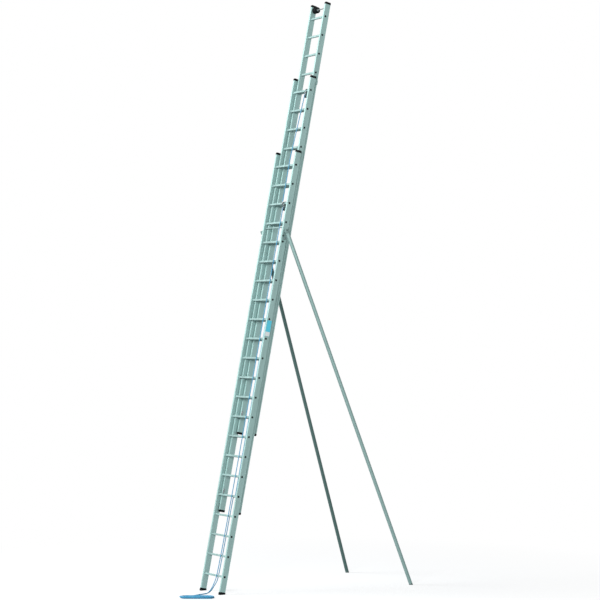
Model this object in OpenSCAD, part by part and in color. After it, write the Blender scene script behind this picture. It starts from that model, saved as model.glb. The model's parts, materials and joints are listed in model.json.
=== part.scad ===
// Three-section, rope-operated aluminium ladder that stands on its own two feet and two long stay poles.
// The row frame has +X across the ladder, +Y away from the climber and +Z up, with the origin on the
// floor in the middle of the stand. Each section is drawn upright in its own frame: x across, y back
// from the front face of its stiles, z up along them. It is then moved along and leaned back.

/* [Sections] */
// Rungs in each section
rung_count = 22; // [21:1:24]
// Distance between rung centres
rung_pitch = 280; // [260:5:300]
// Foot end of a section to its first rung centre
first_rung = 243; // [200:1:280]
// Last rung centre to the head end of the stiles
head_reach = 202; // [180:1:240]
// Overall width of the base section
base_w = 540; // [500:5:620]
// Width of a stile across the ladder
stile_t = 26; // [24:1:30]
// Depth of a stile, front to back
stile_d = 90; // [84:1:100]
// Wall of a stile
stile_wall = 2.2; // [1.8:0.1:3]
// Outer corner radius of a stile
stile_corner = 3; // [1:0.5:3]
// Gap between the stiles of one section and the next
side_gap = 12.5; // [11.5:0.5:16]
// Front of one section to the front of the next
section_pitch = 55; // [54:1:60]

/* [Rungs] */
// Side of a square rung
rung_size = 28; // [26:0.5:29]
// Corner radius of a rung
rung_corner = 5; // [3:0.5:6]
// Wall of a rung
rung_wall = 1.8; // [1.4:0.1:2.5]
// Front face of a stile to the rung centres
rung_depth = 36; // [34:1:37]
// Diameter of a rung plug's head
plug_d = 30; // [24:1:32]
// Diameter of a rung plug's stem
plug_stem_d = 16; // [12:1:20]
// Height of a rung plug's head
plug_head = 2.2; // [1:0.1:2.4]

/* [Stand] */
// Angle of the sections above the floor
lean = 78.7; // [76:0.1:80]
// Rungs by which each section stands out of the one before
steps_out = 4; // [3:1:5]
// Centre line to a stay's foot
stay_foot_x = 806; // [700:2:900]
// Line of the section feet to the line of the stay feet
stay_foot_y = 2842; // [2500:2:3000]
// Height of the stay pivots along the base section
pivot_up = 5150; // [5140:5:5165]
// Depth of the stay pivots from the front face
pivot_depth = 45; // [42:1:50]
// Outside face of a stile to the centre line of its stay
stay_out = 52; // [52:1:60]
// Diameter of a stay pole
stay_d = 52; // [44:1:52]
// Wall of a stay pole
stay_wall = 2; // [1.5:0.1:3]

/* [End pieces] */
// Skirt of an end cap over the stile
cap_skirt = 20; // [14:1:20]
// Wall of an end cap
cap_wall = 2; // [1.5:0.1:2.4]
// Height of a cap's rounded end above the stile
cap_end = 12; // [8:1:13]
// Floor to the metal of a base stile
foot_sole = 14; // [12:1:18]
// Radius of a foot's toe and heel
foot_round = 10; // [8:1:12]
// Visible sole of a stay pole
stay_sole = 22; // [18:1:30]

/* [Ropes] */
// Diameter of the ropes
rope_d = 12; // [10:0.5:12]
// Rope centre line to the axle of a sheave
sheave_line = 25; // [25:1:27]
// Outside radius of a sheave
sheave_r = 28; // [27:0.5:29]
// Width of a sheave
sheave_w = 18; // [16:1:22]
// Rung centre down to the axle of its pulley
pulley_drop = 78; // [65:1:90]
// Centre line to the haul pulley
haul_x = 158; // [150:1:162]
// Centre line to the hoist pulley
hoist_x = 126; // [118:1:134]
// Rung that carries the haul pulley, counted from 0 at the foot
haul_rung = 19; // [19:1:19]

/* [Catches] */
// Thickness of a catch plate
catch_t = 8; // [6:1:9]
// Rung centre up to the catch pin
catch_rise = 75; // [70:1:80]
// Front face of a stile back to the catch pin
catch_pin_y = 12; // [10:1:14]
// Diameter of a catch pin
catch_pin_d = 12; // [10:1:14]

/* [Wall roller] */
// Diameter of the roller
roller_d = 90; // [80:1:100]
// Length of the roller
roller_w = 84; // [60:1:100]
// Head end of the stiles down to the roller axle
roller_drop = 63; // [55:1:70]
// Front face of a stile back to the roller axle
roller_y = 58; // [52:1:62]
// Diameter of the roller axle
axle_d = 16; // [12:1:18]

/* [Clearances] */
// Between pieces that are seated in each other
seat_fit = 0.2; // [0.1:0.05:0.3]
// Radial, between a pin and what turns on it
run_fit = 0.05; // [0.02:0.01:0.1]
// Between guides and the stiles that slide past them
slide_fit = 0.5; // [0.3:0.1:0.8]

/* [Hidden] */
$fn = 48;

metal = "#a7b5b4";
metal_light = "#c4cfce";
plug_black = "#16181a";
sole_grey = "#74837f";
steel = "#8f979b";
rope_blue = "#6fa3c8";

// Sections: 0 is the base, 1 the middle and 2 the top.
BASE = 0;
MIDDLE = 1;
TOP = 2;
RIGHT = 1;
LEFT = -1;
section_len = first_rung + (rung_count - 1) * rung_pitch + head_reach;
section_up = steps_out * rung_pitch;
last_rung = rung_count - 1;

function outer_x(section) = base_w / 2 - section * (stile_t + side_gap);
function inner_x(section) = outer_x(section) - stile_t;
function rung_z(k) = first_rung + k * rung_pitch;

// A point of the base section's frame in the row frame.
function floor_y(y, z) = z * cos(lean) + (y - stile_d / 2) * sin(lean) - stand_mid_y;
function floor_z(y, z) = z * sin(lean) - (y - stile_d / 2) * cos(lean);

// Stay geometry, from the pivot to the middle of the sole.
pivot_x = outer_x(BASE) + stay_out;
pivot_z = floor_z(pivot_depth, pivot_up);
pivot_y = pivot_up * cos(lean) + (pivot_depth - stile_d / 2) * sin(lean);
stay_run_x = stay_foot_x - pivot_x;
stay_run_y = stay_foot_y - pivot_y;
stay_fold = atan2(stay_run_y, pivot_z);
stay_reach = sqrt(stay_run_y * stay_run_y + pivot_z * pivot_z);
stay_splay = atan2(stay_run_x, stay_reach);
stay_len = sqrt(stay_reach * stay_reach + stay_run_x * stay_run_x);

// The footprint runs from the front of the base feet to the back of the stay soles.
foot_r = stay_d / 2;
stand_front = -(stile_d / 2 + cap_wall) / sin(lean);
stand_back = stay_foot_y + foot_r / cos(stay_fold);
stand_mid_y = (stand_front + stand_back) / 2;

// Places a section's own frame in the row frame.
module section(number) {
    translate([0, -stand_mid_y, 0])
        rotate([lean - 90, 0, 0])
            translate([0, number * section_pitch - stile_d / 2, number * section_up])
                children();
}

// Draws the children, made for the right side, on one side of the ladder.
module on_side(side) {
    if (side == RIGHT) children();
    else mirror([1, 0, 0]) children();
}

module both_sides() {
    for (side = [LEFT, RIGHT]) on_side(side) children();
}

// The yoke's frame: origin on the pivot, z up along the folding plane of the stay.
module yoke_frame(side) {
    on_side(side)
        translate([pivot_x, pivot_y - stand_mid_y, pivot_z])
            rotate([stay_fold, 0, 0])
                children();
}

// The stay's frame: the yoke's, splayed outwards.
module stay_frame(side) {
    yoke_frame(side) rotate([0, -stay_splay, 0]) children();
}

// Everything below the floor, to cut the soles flat.
module below_floor() {
    reach = 1.5 * stay_foot_y;
    translate([-reach, -reach, -reach / 8]) cube([2 * reach, 2 * reach, reach / 8]);
}

// A round bar along x from x0 to x1.
module bar_x(x0, x1, r) {
    translate([x0, 0, 0]) rotate([0, 90, 0]) cylinder(h = x1 - x0, r = r);
}

module rounded(size, corner) {
    square([size, size - 2 * corner], center = true);
    square([size - 2 * corner, size], center = true);
    at = size / 2 - corner;
    for (u = [-at, at], v = [-at, at]) translate([u, v]) circle(r = corner);
}

// ---------------------------------------------------------------- stiles, rungs and their ends

plug_stem_r = plug_stem_d / 2;
// A foot's heel stands out by this much behind the stile, and its skirt starts as much above the sole.
foot_grow = 3;

module stile_profile() {
    near = stile_corner;
    translate([near, 0]) square([stile_t - 2 * near, stile_d]);
    translate([0, near]) square([stile_t, stile_d - 2 * near]);
    for (x = [near, stile_t - near], y = [near, stile_d - near]) translate([x, y]) circle(r = stile_corner);
}

// Box stile on the right side of a section, with the rungs' holes in the inner wall and the plugs'
// holes in the outer one.
module stile(number, from_z) {
    x0 = inner_x(number);
    difference() {
        translate([x0, 0, from_z]) linear_extrude(height = section_len - from_z) stile_profile();
        translate([x0 + stile_wall, stile_wall, from_z - 1])
            cube([stile_t - 2 * stile_wall, stile_d - 2 * stile_wall, section_len - from_z + 2]);
        for (k = [0 : last_rung])
            translate([0, rung_depth, rung_z(k)]) {
                translate([x0 - 1, 0, 0])
                    rotate([90, 0, 90])
                        linear_extrude(height = stile_wall + 2)
                            rounded(rung_size + 2 * seat_fit, rung_corner + seat_fit);
                bar_x(outer_x(number) - stile_wall - 1, outer_x(number) + 1, plug_stem_r + seat_fit);
            }
        children();
    }
}

// The rungs reach through the inner walls to the outer ones.
module rungs(number) {
    half = outer_x(number) - stile_wall - seat_fit;
    color(metal_light)
        for (k = [0 : last_rung])
            translate([-half, rung_depth, rung_z(k)])
                rotate([90, 0, 90])
                    linear_extrude(height = 2 * half)
                        difference() {
                            rounded(rung_size, rung_corner);
                            rounded(rung_size - 2 * rung_wall, rung_corner - rung_wall);
                        }
}

// Plastic plugs that close the rungs' ends from the outside of the stiles.
module rung_plugs(number) {
    color(plug_black)
        both_sides()
            for (k = [0 : last_rung])
                translate([outer_x(number), rung_depth, rung_z(k)]) {
                    bar_x(0, plug_head, plug_d / 2);
                    bar_x(-stile_wall - 8, plug_head / 2, plug_stem_r);
                }
}

// Side view of an end cup: a skirt below 0 and a crown with rounded shoulders above it.
module cup_profile() {
    depth = stile_d + 2 * cap_wall;
    translate([-cap_wall, -cap_skirt]) square([depth, cap_skirt]);
    translate([cap_end - cap_wall, 0]) square([depth - 2 * cap_end, cap_end]);
    for (y = [cap_end - cap_wall, depth - cap_end - cap_wall]) translate([y, 0]) circle(r = cap_end);
}

// Cup that closes a stile's end; it points up.
module end_cup(number) {
    x0 = inner_x(number);
    difference() {
        translate([x0 - cap_wall, 0, 0])
            rotate([90, 0, 90])
                linear_extrude(height = stile_t + 2 * cap_wall)
                    cup_profile();
        translate([x0 - seat_fit / 2, -seat_fit / 2, -cap_skirt - 1])
            cube([stile_t + seat_fit, stile_d + seat_fit, cap_skirt + 1]);
    }
}

module head_caps(number) {
    both_sides() translate([0, 0, section_len]) end_cup(number);
}

module tail_caps(number) {
    both_sides() translate([0, 0, cap_end]) mirror([0, 0, 1]) end_cup(number);
}

// Rubber boot of the base section: a skirt round the stile, and a rounded toe and heel on the floor.
module base_foot(side) {
    x0 = inner_x(BASE) - cap_wall;
    width = stile_t + 2 * cap_wall;
    toe_y = stand_front + foot_round;
    heel_y = foot_grow - toe_y;
    color(plug_black)
        difference() {
            hull() {
                section(BASE)
                    on_side(side)
                        translate([x0, -cap_wall, foot_sole + foot_grow])
                            cube([width, stile_d + 2 * cap_wall, cap_skirt - foot_grow]);
                on_side(side)
                    for (y = [toe_y, heel_y])
                        translate([0, y - stand_mid_y, foot_round])
                            bar_x(x0, x0 + width, foot_round, $fn = 32);
            }
            section(BASE)
                on_side(side)
                    translate([inner_x(BASE) - seat_fit / 2, -seat_fit / 2, foot_sole])
                        cube([stile_t + seat_fit, stile_d + seat_fit, cap_skirt + 1]);
        }
}

// ---------------------------------------------------------------- guides between sections

guide_lip_t = 5;
guide_lip = 14;
lower_guide_z = 34;
lower_guide_len = 80;
upper_guide_drop = 90;
upper_guide_len = 60;
upper_guide_t = 4;
upper_guide_gap = 3;
upper_guide_lip = 5.5;

// Slide block at the foot of a section: it fills the gap to the section before, and its lip runs
// behind that section's stile.
module lower_guide(number) {
    x0 = outer_x(number);
    x1 = x0 + side_gap;
    back = stile_d - section_pitch + slide_fit;
    translate([0, 0, lower_guide_z])
        linear_extrude(height = lower_guide_len)
            polygon([
                [x0, 3], [x1 - slide_fit, 3], [x1 - slide_fit, back], [x1 + guide_lip, back],
                [x1 + guide_lip, back + guide_lip_t], [x0, back + guide_lip_t]
            ]);
}

// Bent plate at the head of a section, which keeps the next section's stile from lifting off.
module upper_guide(number) {
    x_next = outer_x(number + 1);
    leg = x_next + upper_guide_gap;
    back = section_pitch + stile_d + 1;
    translate([0, 0, section_len - upper_guide_drop])
        linear_extrude(height = upper_guide_len)
            polygon([
                [outer_x(number), stile_d], [outer_x(number), stile_d + upper_guide_t],
                [leg + upper_guide_t, stile_d + upper_guide_t], [leg + upper_guide_t, back + upper_guide_t],
                [x_next - upper_guide_lip, back + upper_guide_t], [x_next - upper_guide_lip, back],
                [leg, back], [leg, stile_d]
            ]);
}

// ---------------------------------------------------------------- catches

catch_x = 3.5;
catch_bore_r = catch_pin_d / 2 + run_fit;
catch_eye_r = catch_pin_d / 2 + 8;
catch_seat = 0.27;
catch_front = 14;
catch_back = 7;

// From the catch pin to the nearest point of a rung of the section before, which lies at its rounded
// upper rear corner.
corner_y = rung_depth - section_pitch + rung_size / 2 - rung_corner - catch_pin_y;
corner_z = rung_size / 2 - rung_corner - catch_rise;
catch_reach = norm([corner_y, corner_z]) - rung_corner - catch_seat;

// Pawl that hangs from a pin behind the rungs of the section before. Swung forwards, its rounded end
// comes to stand over one of them and carries the section.
module catch_plate(number) {
    translate([inner_x(number) - catch_x - catch_t, catch_pin_y, rung_z(0) + catch_rise])
        rotate([90, 0, 90])
            linear_extrude(height = catch_t)
                difference() {
                    union() {
                        circle(r = catch_eye_r);
                        intersection() {
                            circle(r = catch_reach, $fn = 96);
                            translate([-catch_front, -catch_reach])
                                square([catch_front + catch_back, catch_reach]);
                        }
                    }
                    circle(r = catch_bore_r);
                }
}

// Pin riveted into the stile's inner wall, with a head that keeps the catch on.
module catch_pin(number) {
    x0 = inner_x(number);
    translate([0, catch_pin_y, rung_z(0) + catch_rise]) {
        bar_x(x0 - catch_x - catch_t - 0.5, x0 + stile_wall + 6, catch_pin_d / 2);
        bar_x(x0 - catch_x - catch_t - 4, x0 - catch_x - catch_t - 0.5, catch_pin_d / 2 + 4);
        bar_x(x0 - catch_x + 0.5, x0, catch_pin_d / 2 + 3);
    }
}

module catch_pin_hole(number) {
    translate([0, catch_pin_y, rung_z(0) + catch_rise])
        bar_x(inner_x(number) - 1, inner_x(number) + stile_wall + 1, catch_pin_d / 2 + seat_fit / 2);
}

// ---------------------------------------------------------------- pulleys

plate_t = 4;
plate_gap = 1;
sheave_axle_r = 5;
plate_in = sheave_w / 2 + plate_gap;
hanger_rise = 24;
hanger_r = 14;

module sheave() {
    rotate([0, 90, 0])
        rotate_extrude()
            difference() {
                translate([sheave_axle_r + run_fit, -sheave_w / 2])
                    square([sheave_r - sheave_axle_r - run_fit, sheave_w]);
                translate([sheave_line, 0]) circle(r = rope_d / 2 + 0.3);
                translate([sheave_line, -rope_d / 2 - 0.3]) square([sheave_r, rope_d + 0.6]);
            }
}

// Two plates threaded on a rung, which carry the axle below it. The origin is the rung's centre.
module hanger() {
    for (x = [-plate_in - plate_t, plate_in])
        translate([x, 0, 0])
            rotate([90, 0, 90])
                linear_extrude(height = plate_t)
                    difference() {
                        union() {
                            translate([-rung_size / 2 - 6, -pulley_drop])
                                square([rung_size + 12, pulley_drop + hanger_rise]);
                            translate([0, -pulley_drop]) circle(r = rung_size / 2 + 6);
                        }
                        rounded(rung_size + 2 * seat_fit, rung_corner + seat_fit);
                        translate([0, -pulley_drop]) circle(r = sheave_axle_r + seat_fit / 2);
                    }
    // Spacer bolt over the rung
    translate([0, 0, rung_size / 2 + 5]) bar_x(-plate_in, plate_in, 3);
}

module pulley_axle() {
    reach = plate_in + plate_t + seat_fit;
    bar_x(-reach, reach, sheave_axle_r);
    bar_x(reach, reach + 4, sheave_axle_r + 3);
    bar_x(-reach - 4, -reach, sheave_axle_r + 3);
}

module at_haul_rung() {
    section(BASE) translate([haul_x, rung_depth, rung_z(haul_rung)]) children();
}

module at_haul_pulley() {
    at_haul_rung() translate([0, 0, -pulley_drop]) children();
}

module at_hoist_rung() {
    section(MIDDLE) translate([hoist_x, rung_depth, rung_z(last_rung)]) children();
}

module at_hoist_pulley() {
    at_hoist_rung() translate([0, 0, -pulley_drop]) children();
}

// ---------------------------------------------------------------- stays

bracket_t = 6;
bracket_y0 = 12;
bracket_y1 = 78;
bracket_below = 118;
bracket_above = 24;
bracket_corner = 8;
stay_pin_r = 8;
stay_bolt_r = 5;
stay_bolt_y = 60;
stay_bolt_below = 98;
knob_y = 20;
knob_below = 64;
knob_r = 11;
knob_len = 16;
yoke_hub_r = 18;
hub_gap = 0.5;
hub_len = 18;
yoke_cheek_t = 8;
yoke_half_x = 20;
tongue_half_y = 12.6;
cheek_gap = 0.4;
splay_pin_r = 6;
tie_bar_below_rung = 70;
tie_bar_r = 9;
tie_rung = 18;

module stay_bracket_outline() {
    y0 = bracket_y0 + bracket_corner;
    y1 = bracket_y1 - bracket_corner;
    z0 = pivot_up - bracket_below + bracket_corner;
    z1 = pivot_up + bracket_above - bracket_corner;
    translate([y0, z0 - bracket_corner]) square([y1 - y0, z1 - z0 + 2 * bracket_corner]);
    translate([y0 - bracket_corner, z0]) square([y1 - y0 + 2 * bracket_corner, z1 - z0]);
    for (y = [y0, y1], z = [z0, z1]) translate([y, z]) circle(r = bracket_corner);
}

// Plate on the outside of a base stile.
module stay_bracket(side) {
    color(metal)
        section(BASE)
            on_side(side)
                translate([outer_x(BASE), 0, 0])
                    difference() {
                        rotate([90, 0, 90]) linear_extrude(height = bracket_t) stay_bracket_outline();
                        at_pivot() bar_x(-1, bracket_t + 1, stay_pin_r + seat_fit / 2);
                        at_stay_bolt() bar_x(-1, bracket_t + 1, stay_bolt_r + seat_fit);
                        at_knob() bar_x(-1, bracket_t + 1, stay_bolt_r + seat_fit);
                    }
}

module at_pivot() {
    translate([0, pivot_depth, pivot_up]) children();
}

module at_stay_bolt() {
    translate([0, stay_bolt_y, pivot_up - stay_bolt_below]) children();
}

module at_knob() {
    translate([0, knob_y, pivot_up - knob_below]) children();
}

module at_tie_bar() {
    translate([0, rung_depth, rung_z(tie_rung) - tie_bar_below_rung]) children();
}

// Holes of the stay fittings and the tie bar in a base stile.
module stay_holes() {
    wall_x = outer_x(BASE) - stile_wall - 1;
    at_pivot() bar_x(wall_x, outer_x(BASE) + 1, stay_pin_r + seat_fit / 2);
    at_stay_bolt() bar_x(wall_x, outer_x(BASE) + 1, stay_bolt_r + seat_fit);
    at_knob() bar_x(wall_x, outer_x(BASE) + 1, stay_bolt_r + seat_fit);
    at_tie_bar() bar_x(inner_x(BASE) - 1, inner_x(BASE) + stile_wall + 1, tie_bar_r + seat_fit / 2);
}

// Local x of the bracket's outer face in the yoke's frame.
hub_x0 = -(stay_out - bracket_t) + hub_gap;
hub_x1 = hub_x0 + hub_len;

// Shouldered pin on which the yoke folds, with its nut inside the stile.
module stay_pivot() {
    x0 = outer_x(BASE);
    at_pivot() {
        bar_x(x0 - stile_wall - 6, x0 + bracket_t + hub_len + 1.5 * hub_gap, stay_pin_r);
        bar_x(x0 - stile_wall - 6, x0 - stile_wall - seat_fit, stay_pin_r + 4);
        bar_x(x0 + bracket_t + hub_len + 1.5 * hub_gap, x0 + bracket_t + hub_len + 1.5 * hub_gap + 4,
              stay_pin_r + 4);
    }
}

module stay_bolt() {
    x0 = outer_x(BASE);
    bar_x(x0 - stile_wall - 6, x0 + bracket_t + 1, stay_bolt_r);
    bar_x(x0 - stile_wall - 6, x0 - stile_wall - seat_fit, stay_bolt_r + 3);
    translate([x0 + bracket_t, 0, 0]) rotate([0, 90, 0]) cylinder(h = 6, r = stay_bolt_r + 4, $fn = 6);
}

// Hand knob that locks the folded stay.
module lock_knob() {
    x0 = outer_x(BASE);
    bar_x(x0 - stile_wall - 6, x0 + bracket_t + 1, stay_bolt_r);
    bar_x(x0 - stile_wall - 6, x0 - stile_wall - seat_fit, stay_bolt_r + 3);
    bar_x(x0 + bracket_t, x0 + bracket_t + knob_len, knob_r);
}

// Universal piece between bracket and pole: it folds on the bracket's pin and carries the splay pin.
module stay_yoke(side) {
    top = 34;
    under = 20;
    cheek_y = tongue_half_y + cheek_gap;
    color(steel)
        yoke_frame(side)
            difference() {
                union() {
                    bar_x(hub_x0, hub_x1, yoke_hub_r);
                    translate([hub_x0, -cheek_y - yoke_cheek_t, 0])
                        cube([hub_len, 2 * (cheek_y + yoke_cheek_t), top]);
                    translate([hub_x0, -cheek_y - yoke_cheek_t, under])
                        cube([yoke_half_x - hub_x0, 2 * (cheek_y + yoke_cheek_t), top - under]);
                    for (y = [-cheek_y - yoke_cheek_t, cheek_y])
                        translate([0, y, 0]) {
                            translate([-yoke_half_x, 0, 0])
                                cube([2 * yoke_half_x, yoke_cheek_t, top]);
                            rotate([-90, 0, 0]) cylinder(h = yoke_cheek_t, r = yoke_half_x);
                        }
                }
                bar_x(hub_x0 - 1, hub_x1 + 1, stay_pin_r + run_fit);
                translate([0, -cheek_y - yoke_cheek_t - 1, 0])
                    rotate([-90, 0, 0])
                        cylinder(h = 2 * (cheek_y + yoke_cheek_t + 1), r = splay_pin_r + run_fit);
            }
}

pole_top = 36;

// Solid head of a pole: a tongue between the yoke's cheeks, the splay pin and a plug in the tube.
module stay_head(side) {
    tongue_r = 16;
    pin_half = tongue_half_y + cheek_gap + yoke_cheek_t + 2;
    color(steel)
        stay_frame(side) {
            translate([0, -tongue_half_y, 0]) {
                translate([-tongue_r, 0, -pole_top - 2])
                    cube([2 * tongue_r, 2 * tongue_half_y, pole_top + 2]);
                rotate([-90, 0, 0]) cylinder(h = 2 * tongue_half_y, r = tongue_r);
            }
            translate([0, -pin_half, 0]) rotate([-90, 0, 0]) cylinder(h = 2 * pin_half, r = splay_pin_r);
            translate([0, 0, -pole_top - 60]) cylinder(h = 60, r = stay_d / 2 - stay_wall - seat_fit);
        }
}

module stay_pole(side) {
    color(metal)
        stay_frame(side)
            translate([0, 0, stay_sole - stay_len])
                difference() {
                    cylinder(h = stay_len - stay_sole - pole_top, r = stay_d / 2);
                    translate([0, 0, -1])
                        cylinder(h = stay_len - stay_sole - pole_top + 2, r = stay_d / 2 - stay_wall);
                }
}

// Rubber sole, cut flat on the floor, with a plug in the tube.
module stay_foot(side) {
    color(sole_grey)
        difference() {
            stay_frame(side) {
                translate([0, 0, -stay_len - 20]) cylinder(h = stay_sole + 20 - seat_fit, r = foot_r);
                translate([0, 0, stay_sole - stay_len - 1])
                    cylinder(h = 50, r = stay_d / 2 - stay_wall - seat_fit);
            }
            below_floor();
        }
}

// ---------------------------------------------------------------- ropes

rope_r = rope_d / 2;
haul_axle_z = rung_z(haul_rung) - pulley_drop;
hoist_axle_z = rung_z(last_rung) - pulley_drop;
clamp_front = 23;
clamp_half_z = 14;
return_x = 85;
hoist_end_x = 140;

// Block on the front of a section's first rung that holds the rope ends between x0 and x1.
module rope_clamp(x0, x1) {
    strap = 3;
    front = rung_depth - rung_size / 2 - clamp_front;
    translate([0, 0, rung_z(0)])
        difference() {
            union() {
                translate([x0, front, -clamp_half_z])
                    cube([x1 - x0, clamp_front - seat_fit, 2 * clamp_half_z]);
                for (x = [x0 + 2, x1 - 12])
                    translate([x, front + clamp_front - 4, -rung_size / 2 - strap])
                        cube([10, rung_size + 4 + strap, rung_size + 2 * strap]);
            }
            translate([x0 - 1, rung_depth, 0])
                rotate([90, 0, 90])
                    linear_extrude(height = x1 - x0 + 2)
                        square(rung_size + 2 * seat_fit, center = true);
        }
}

// Loop around the haul rung that holds the standing end of the lift rope.
anchor_x = 125;
anchor_top = 24;

module rope_anchor() {
    half = 8;
    strap = 4;
    front = -rung_depth + sheave_front;
    translate([anchor_x, rung_depth, rung_z(haul_rung)])
        difference() {
            union() {
                translate([-half, -rung_size / 2 - strap, -rung_size / 2 - strap])
                    cube([2 * half, rung_size + 2 * strap, rung_size + 2 * strap]);
                translate([-half, front - rope_r - 2, -rung_size / 2])
                    cube([2 * half, rung_depth - rung_size / 2 - sheave_front + rope_r,
                          rung_size / 2 + anchor_top]);
            }
            translate([-half - 1, 0, 0])
                rotate([90, 0, 90])
                    linear_extrude(height = 2 * half + 2)
                        square(rung_size + 2 * seat_fit, center = true);
        }
}

// Depth of a rope strand in front of the rungs, and of one behind them, from the stiles' front.
sheave_front = rung_depth - sheave_line;
sheave_rear = rung_depth + sheave_line;

// Route of the haul rope's front strand in the base section's frame: down from the sheave, in front
// of the rungs.
haul_route = [
    [158, 11, 5485], [158, 11, 5430], [157, 11, 5200], [155, 11, 4800], [152, 11, 4300], [149, 11, 3800],
    [146, 11, 3300], [142, 11, 2800], [138, 11, 2300], [133, 11, 1800], [128, 11, 1400], [122, 11, 1000],
    [114, 11, 650], [104, 11, 380], [94, 9, 220]
];
// Its end on the floor, in the row frame with y counted from the line of the base feet.
haul_floor_route = [
    [88, -30, 130], [88, -62, 75], [91, -100, 34], [98, -145, 11], [112, -205, 7], [132, -270, 7],
    [158, -330, 7], [194, -376, 10], [238, -406, 15], [284, -426, 18]
];
// The other strand, from the clamp on the middle section down behind the rungs.
return_route = [
    [85, 66, 1348.4], [85, 64, 1280], [84, 62, 1100], [83, 61, 950], [80, 61, 780], [76, 61, 600],
    [70, 61, 420], [65, 60, 280], [62, 52, 175]
];
return_floor_route = [
    [61, -2, 105], [63, -34, 62], [67, -72, 28], [74, -118, 11], [87, -180, 7], [104, -245, 7],
    [126, -310, 7], [152, -372, 9], [190, -430, 14], [256, -480, 18]
];

// The lift rope's standing strand, in the base section's frame, up to the hoist sheave.
lift_route = [
    [125, 11, 5587], [125, 11, 5700], [125, 11, 5950], [125, 11, 6160], [125, 16, 6300], [126, 30, 6550],
    [126, 47, 6830], [126, 61, 7060], [126, 66, 7164.3]
];

function from_section(p) = [p[0], floor_y(p[1], p[2]), floor_z(p[1], p[2])];
function from_floor(p) = [p[0], p[1] - stand_mid_y, p[2]];

// A smooth line through points: steps pieces between each two.
function spline(p, steps) = concat(
    [for (i = [0 : len(p) - 2], s = [0 : steps - 1]) catmull(p, i, s / steps)],
    [p[len(p) - 1]]
);
function at(p, i) = p[max(0, min(len(p) - 1, i))];
function catmull(p, i, t) =
    let (a = at(p, i - 1), b = at(p, i), c = at(p, i + 1), d = at(p, i + 2))
    0.5 * (2 * b + (c - a) * t + (2 * a - 5 * b + 4 * c - d) * t * t + (3 * b - a - 3 * c + d) * t * t * t);
function unit(v) = v / norm(v);

// Tube of the rope's diameter along a line of points, as one closed mesh.
rope_sides = 8;
module rope_tube(line) {
    n = len(line);
    rings = [for (i = [0 : n - 1])
        let (
            along = unit(at(line, i + 1) - at(line, i - 1)),
            u = unit(cross(along, [1, 0, 0])),
            v = cross(along, u)
        )
        [for (k = [0 : rope_sides - 1])
            line[i] + rope_r * (cos(360 * k / rope_sides) * u + sin(360 * k / rope_sides) * v)]
    ];
    points = [for (ring = rings, p = ring) p];
    walls = [for (i = [0 : n - 2], k = [0 : rope_sides - 1])
        let (a = i * rope_sides + k, b = i * rope_sides + (k + 1) % rope_sides)
        [a, b, b + rope_sides, a + rope_sides]
    ];
    first = [for (k = [rope_sides - 1 : -1 : 0]) k];
    last = [for (k = [0 : rope_sides - 1]) (n - 1) * rope_sides + k];
    polyhedron(points, concat(walls, [first, last]));
}

// Hank of the rope that lies on the floor in front of the ladder.
pile_x = 355;
pile_y = -450;
pile_len = 490;
pile_w = 190;
pile_hole_w = 86;
pile_h = 27;
pile_turn = 57;

// ---------------------------------------------------------------- nodes of the base section

module base_stile(side) {
    color(metal) section(BASE) on_side(side) stile(BASE, foot_sole) stay_holes();
}

module base_stile_left() { base_stile(LEFT); }

module base_stile_right() { base_stile(RIGHT); }

module base_rungs() { section(BASE) rungs(BASE); }

module base_rung_plugs() { section(BASE) rung_plugs(BASE); }

module base_caps() { color(plug_black) section(BASE) head_caps(BASE); }

module base_foot_left() { base_foot(LEFT); }

module base_foot_right() { base_foot(RIGHT); }

module base_guides() { color(metal) section(BASE) both_sides() upper_guide(BASE); }

module haul_hanger() { color(steel) at_haul_rung() hanger(); }

module haul_axle() { color(steel) at_haul_pulley() pulley_axle(); }

module lift_rope_anchor() { color(steel) section(BASE) rope_anchor(); }

module stay_bracket_left() { stay_bracket(LEFT); }

module stay_bracket_right() { stay_bracket(RIGHT); }

module stay_bracket_bolts() { color(steel) section(BASE) both_sides() at_stay_bolt() stay_bolt(); }

module stay_pivots() { color(steel) section(BASE) both_sides() stay_pivot(); }

module stay_lock_knobs() { color(steel) section(BASE) both_sides() at_knob() lock_knob(); }

module stay_tie_bar() {
    half = inner_x(BASE) + stile_wall + 3;
    color(metal_light) section(BASE) at_tie_bar() bar_x(-half, half, tie_bar_r);
}

// Plain sticker with no text, between two rung plugs of the right stile.
label_rung = 12;
label_t = 0.8;
label_margin = 8;
label_from = 38;
label_to = 18;

module stile_label() {
    color("#2fb6d8")
        section(BASE)
            translate([outer_x(BASE), label_margin, rung_z(label_rung) + label_from])
                cube([label_t, stile_d - 2 * label_margin, rung_pitch - label_from - label_to]);
}

module haul_sheave() { color(plug_black) at_haul_pulley() sheave(); }

// ---------------------------------------------------------------- nodes of the middle section

module sliding_stile(number, side) {
    color(metal) section(number) on_side(side) stile(number, cap_end) catch_pin_hole(number);
}

module middle_stile_left() { sliding_stile(MIDDLE, LEFT); }

module middle_stile_right() { sliding_stile(MIDDLE, RIGHT); }

module middle_rungs() { section(MIDDLE) rungs(MIDDLE); }

module middle_rung_plugs() { section(MIDDLE) rung_plugs(MIDDLE); }

module middle_caps() {
    color(plug_black)
        section(MIDDLE) {
            head_caps(MIDDLE);
            tail_caps(MIDDLE);
        }
}

module middle_guides() { color(plug_black) section(MIDDLE) both_sides() lower_guide(MIDDLE); }

module middle_upper_guides() { color(metal) section(MIDDLE) both_sides() upper_guide(MIDDLE); }

module hoist_hanger() { color(steel) at_hoist_rung() hanger(); }

module hoist_axle() { color(steel) at_hoist_pulley() pulley_axle(); }

module middle_catch_pins() { color(steel) section(MIDDLE) both_sides() catch_pin(MIDDLE); }

module middle_rope_clamp() { color(steel) section(MIDDLE) rope_clamp(return_x - 12, hoist_end_x + 12); }

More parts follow.
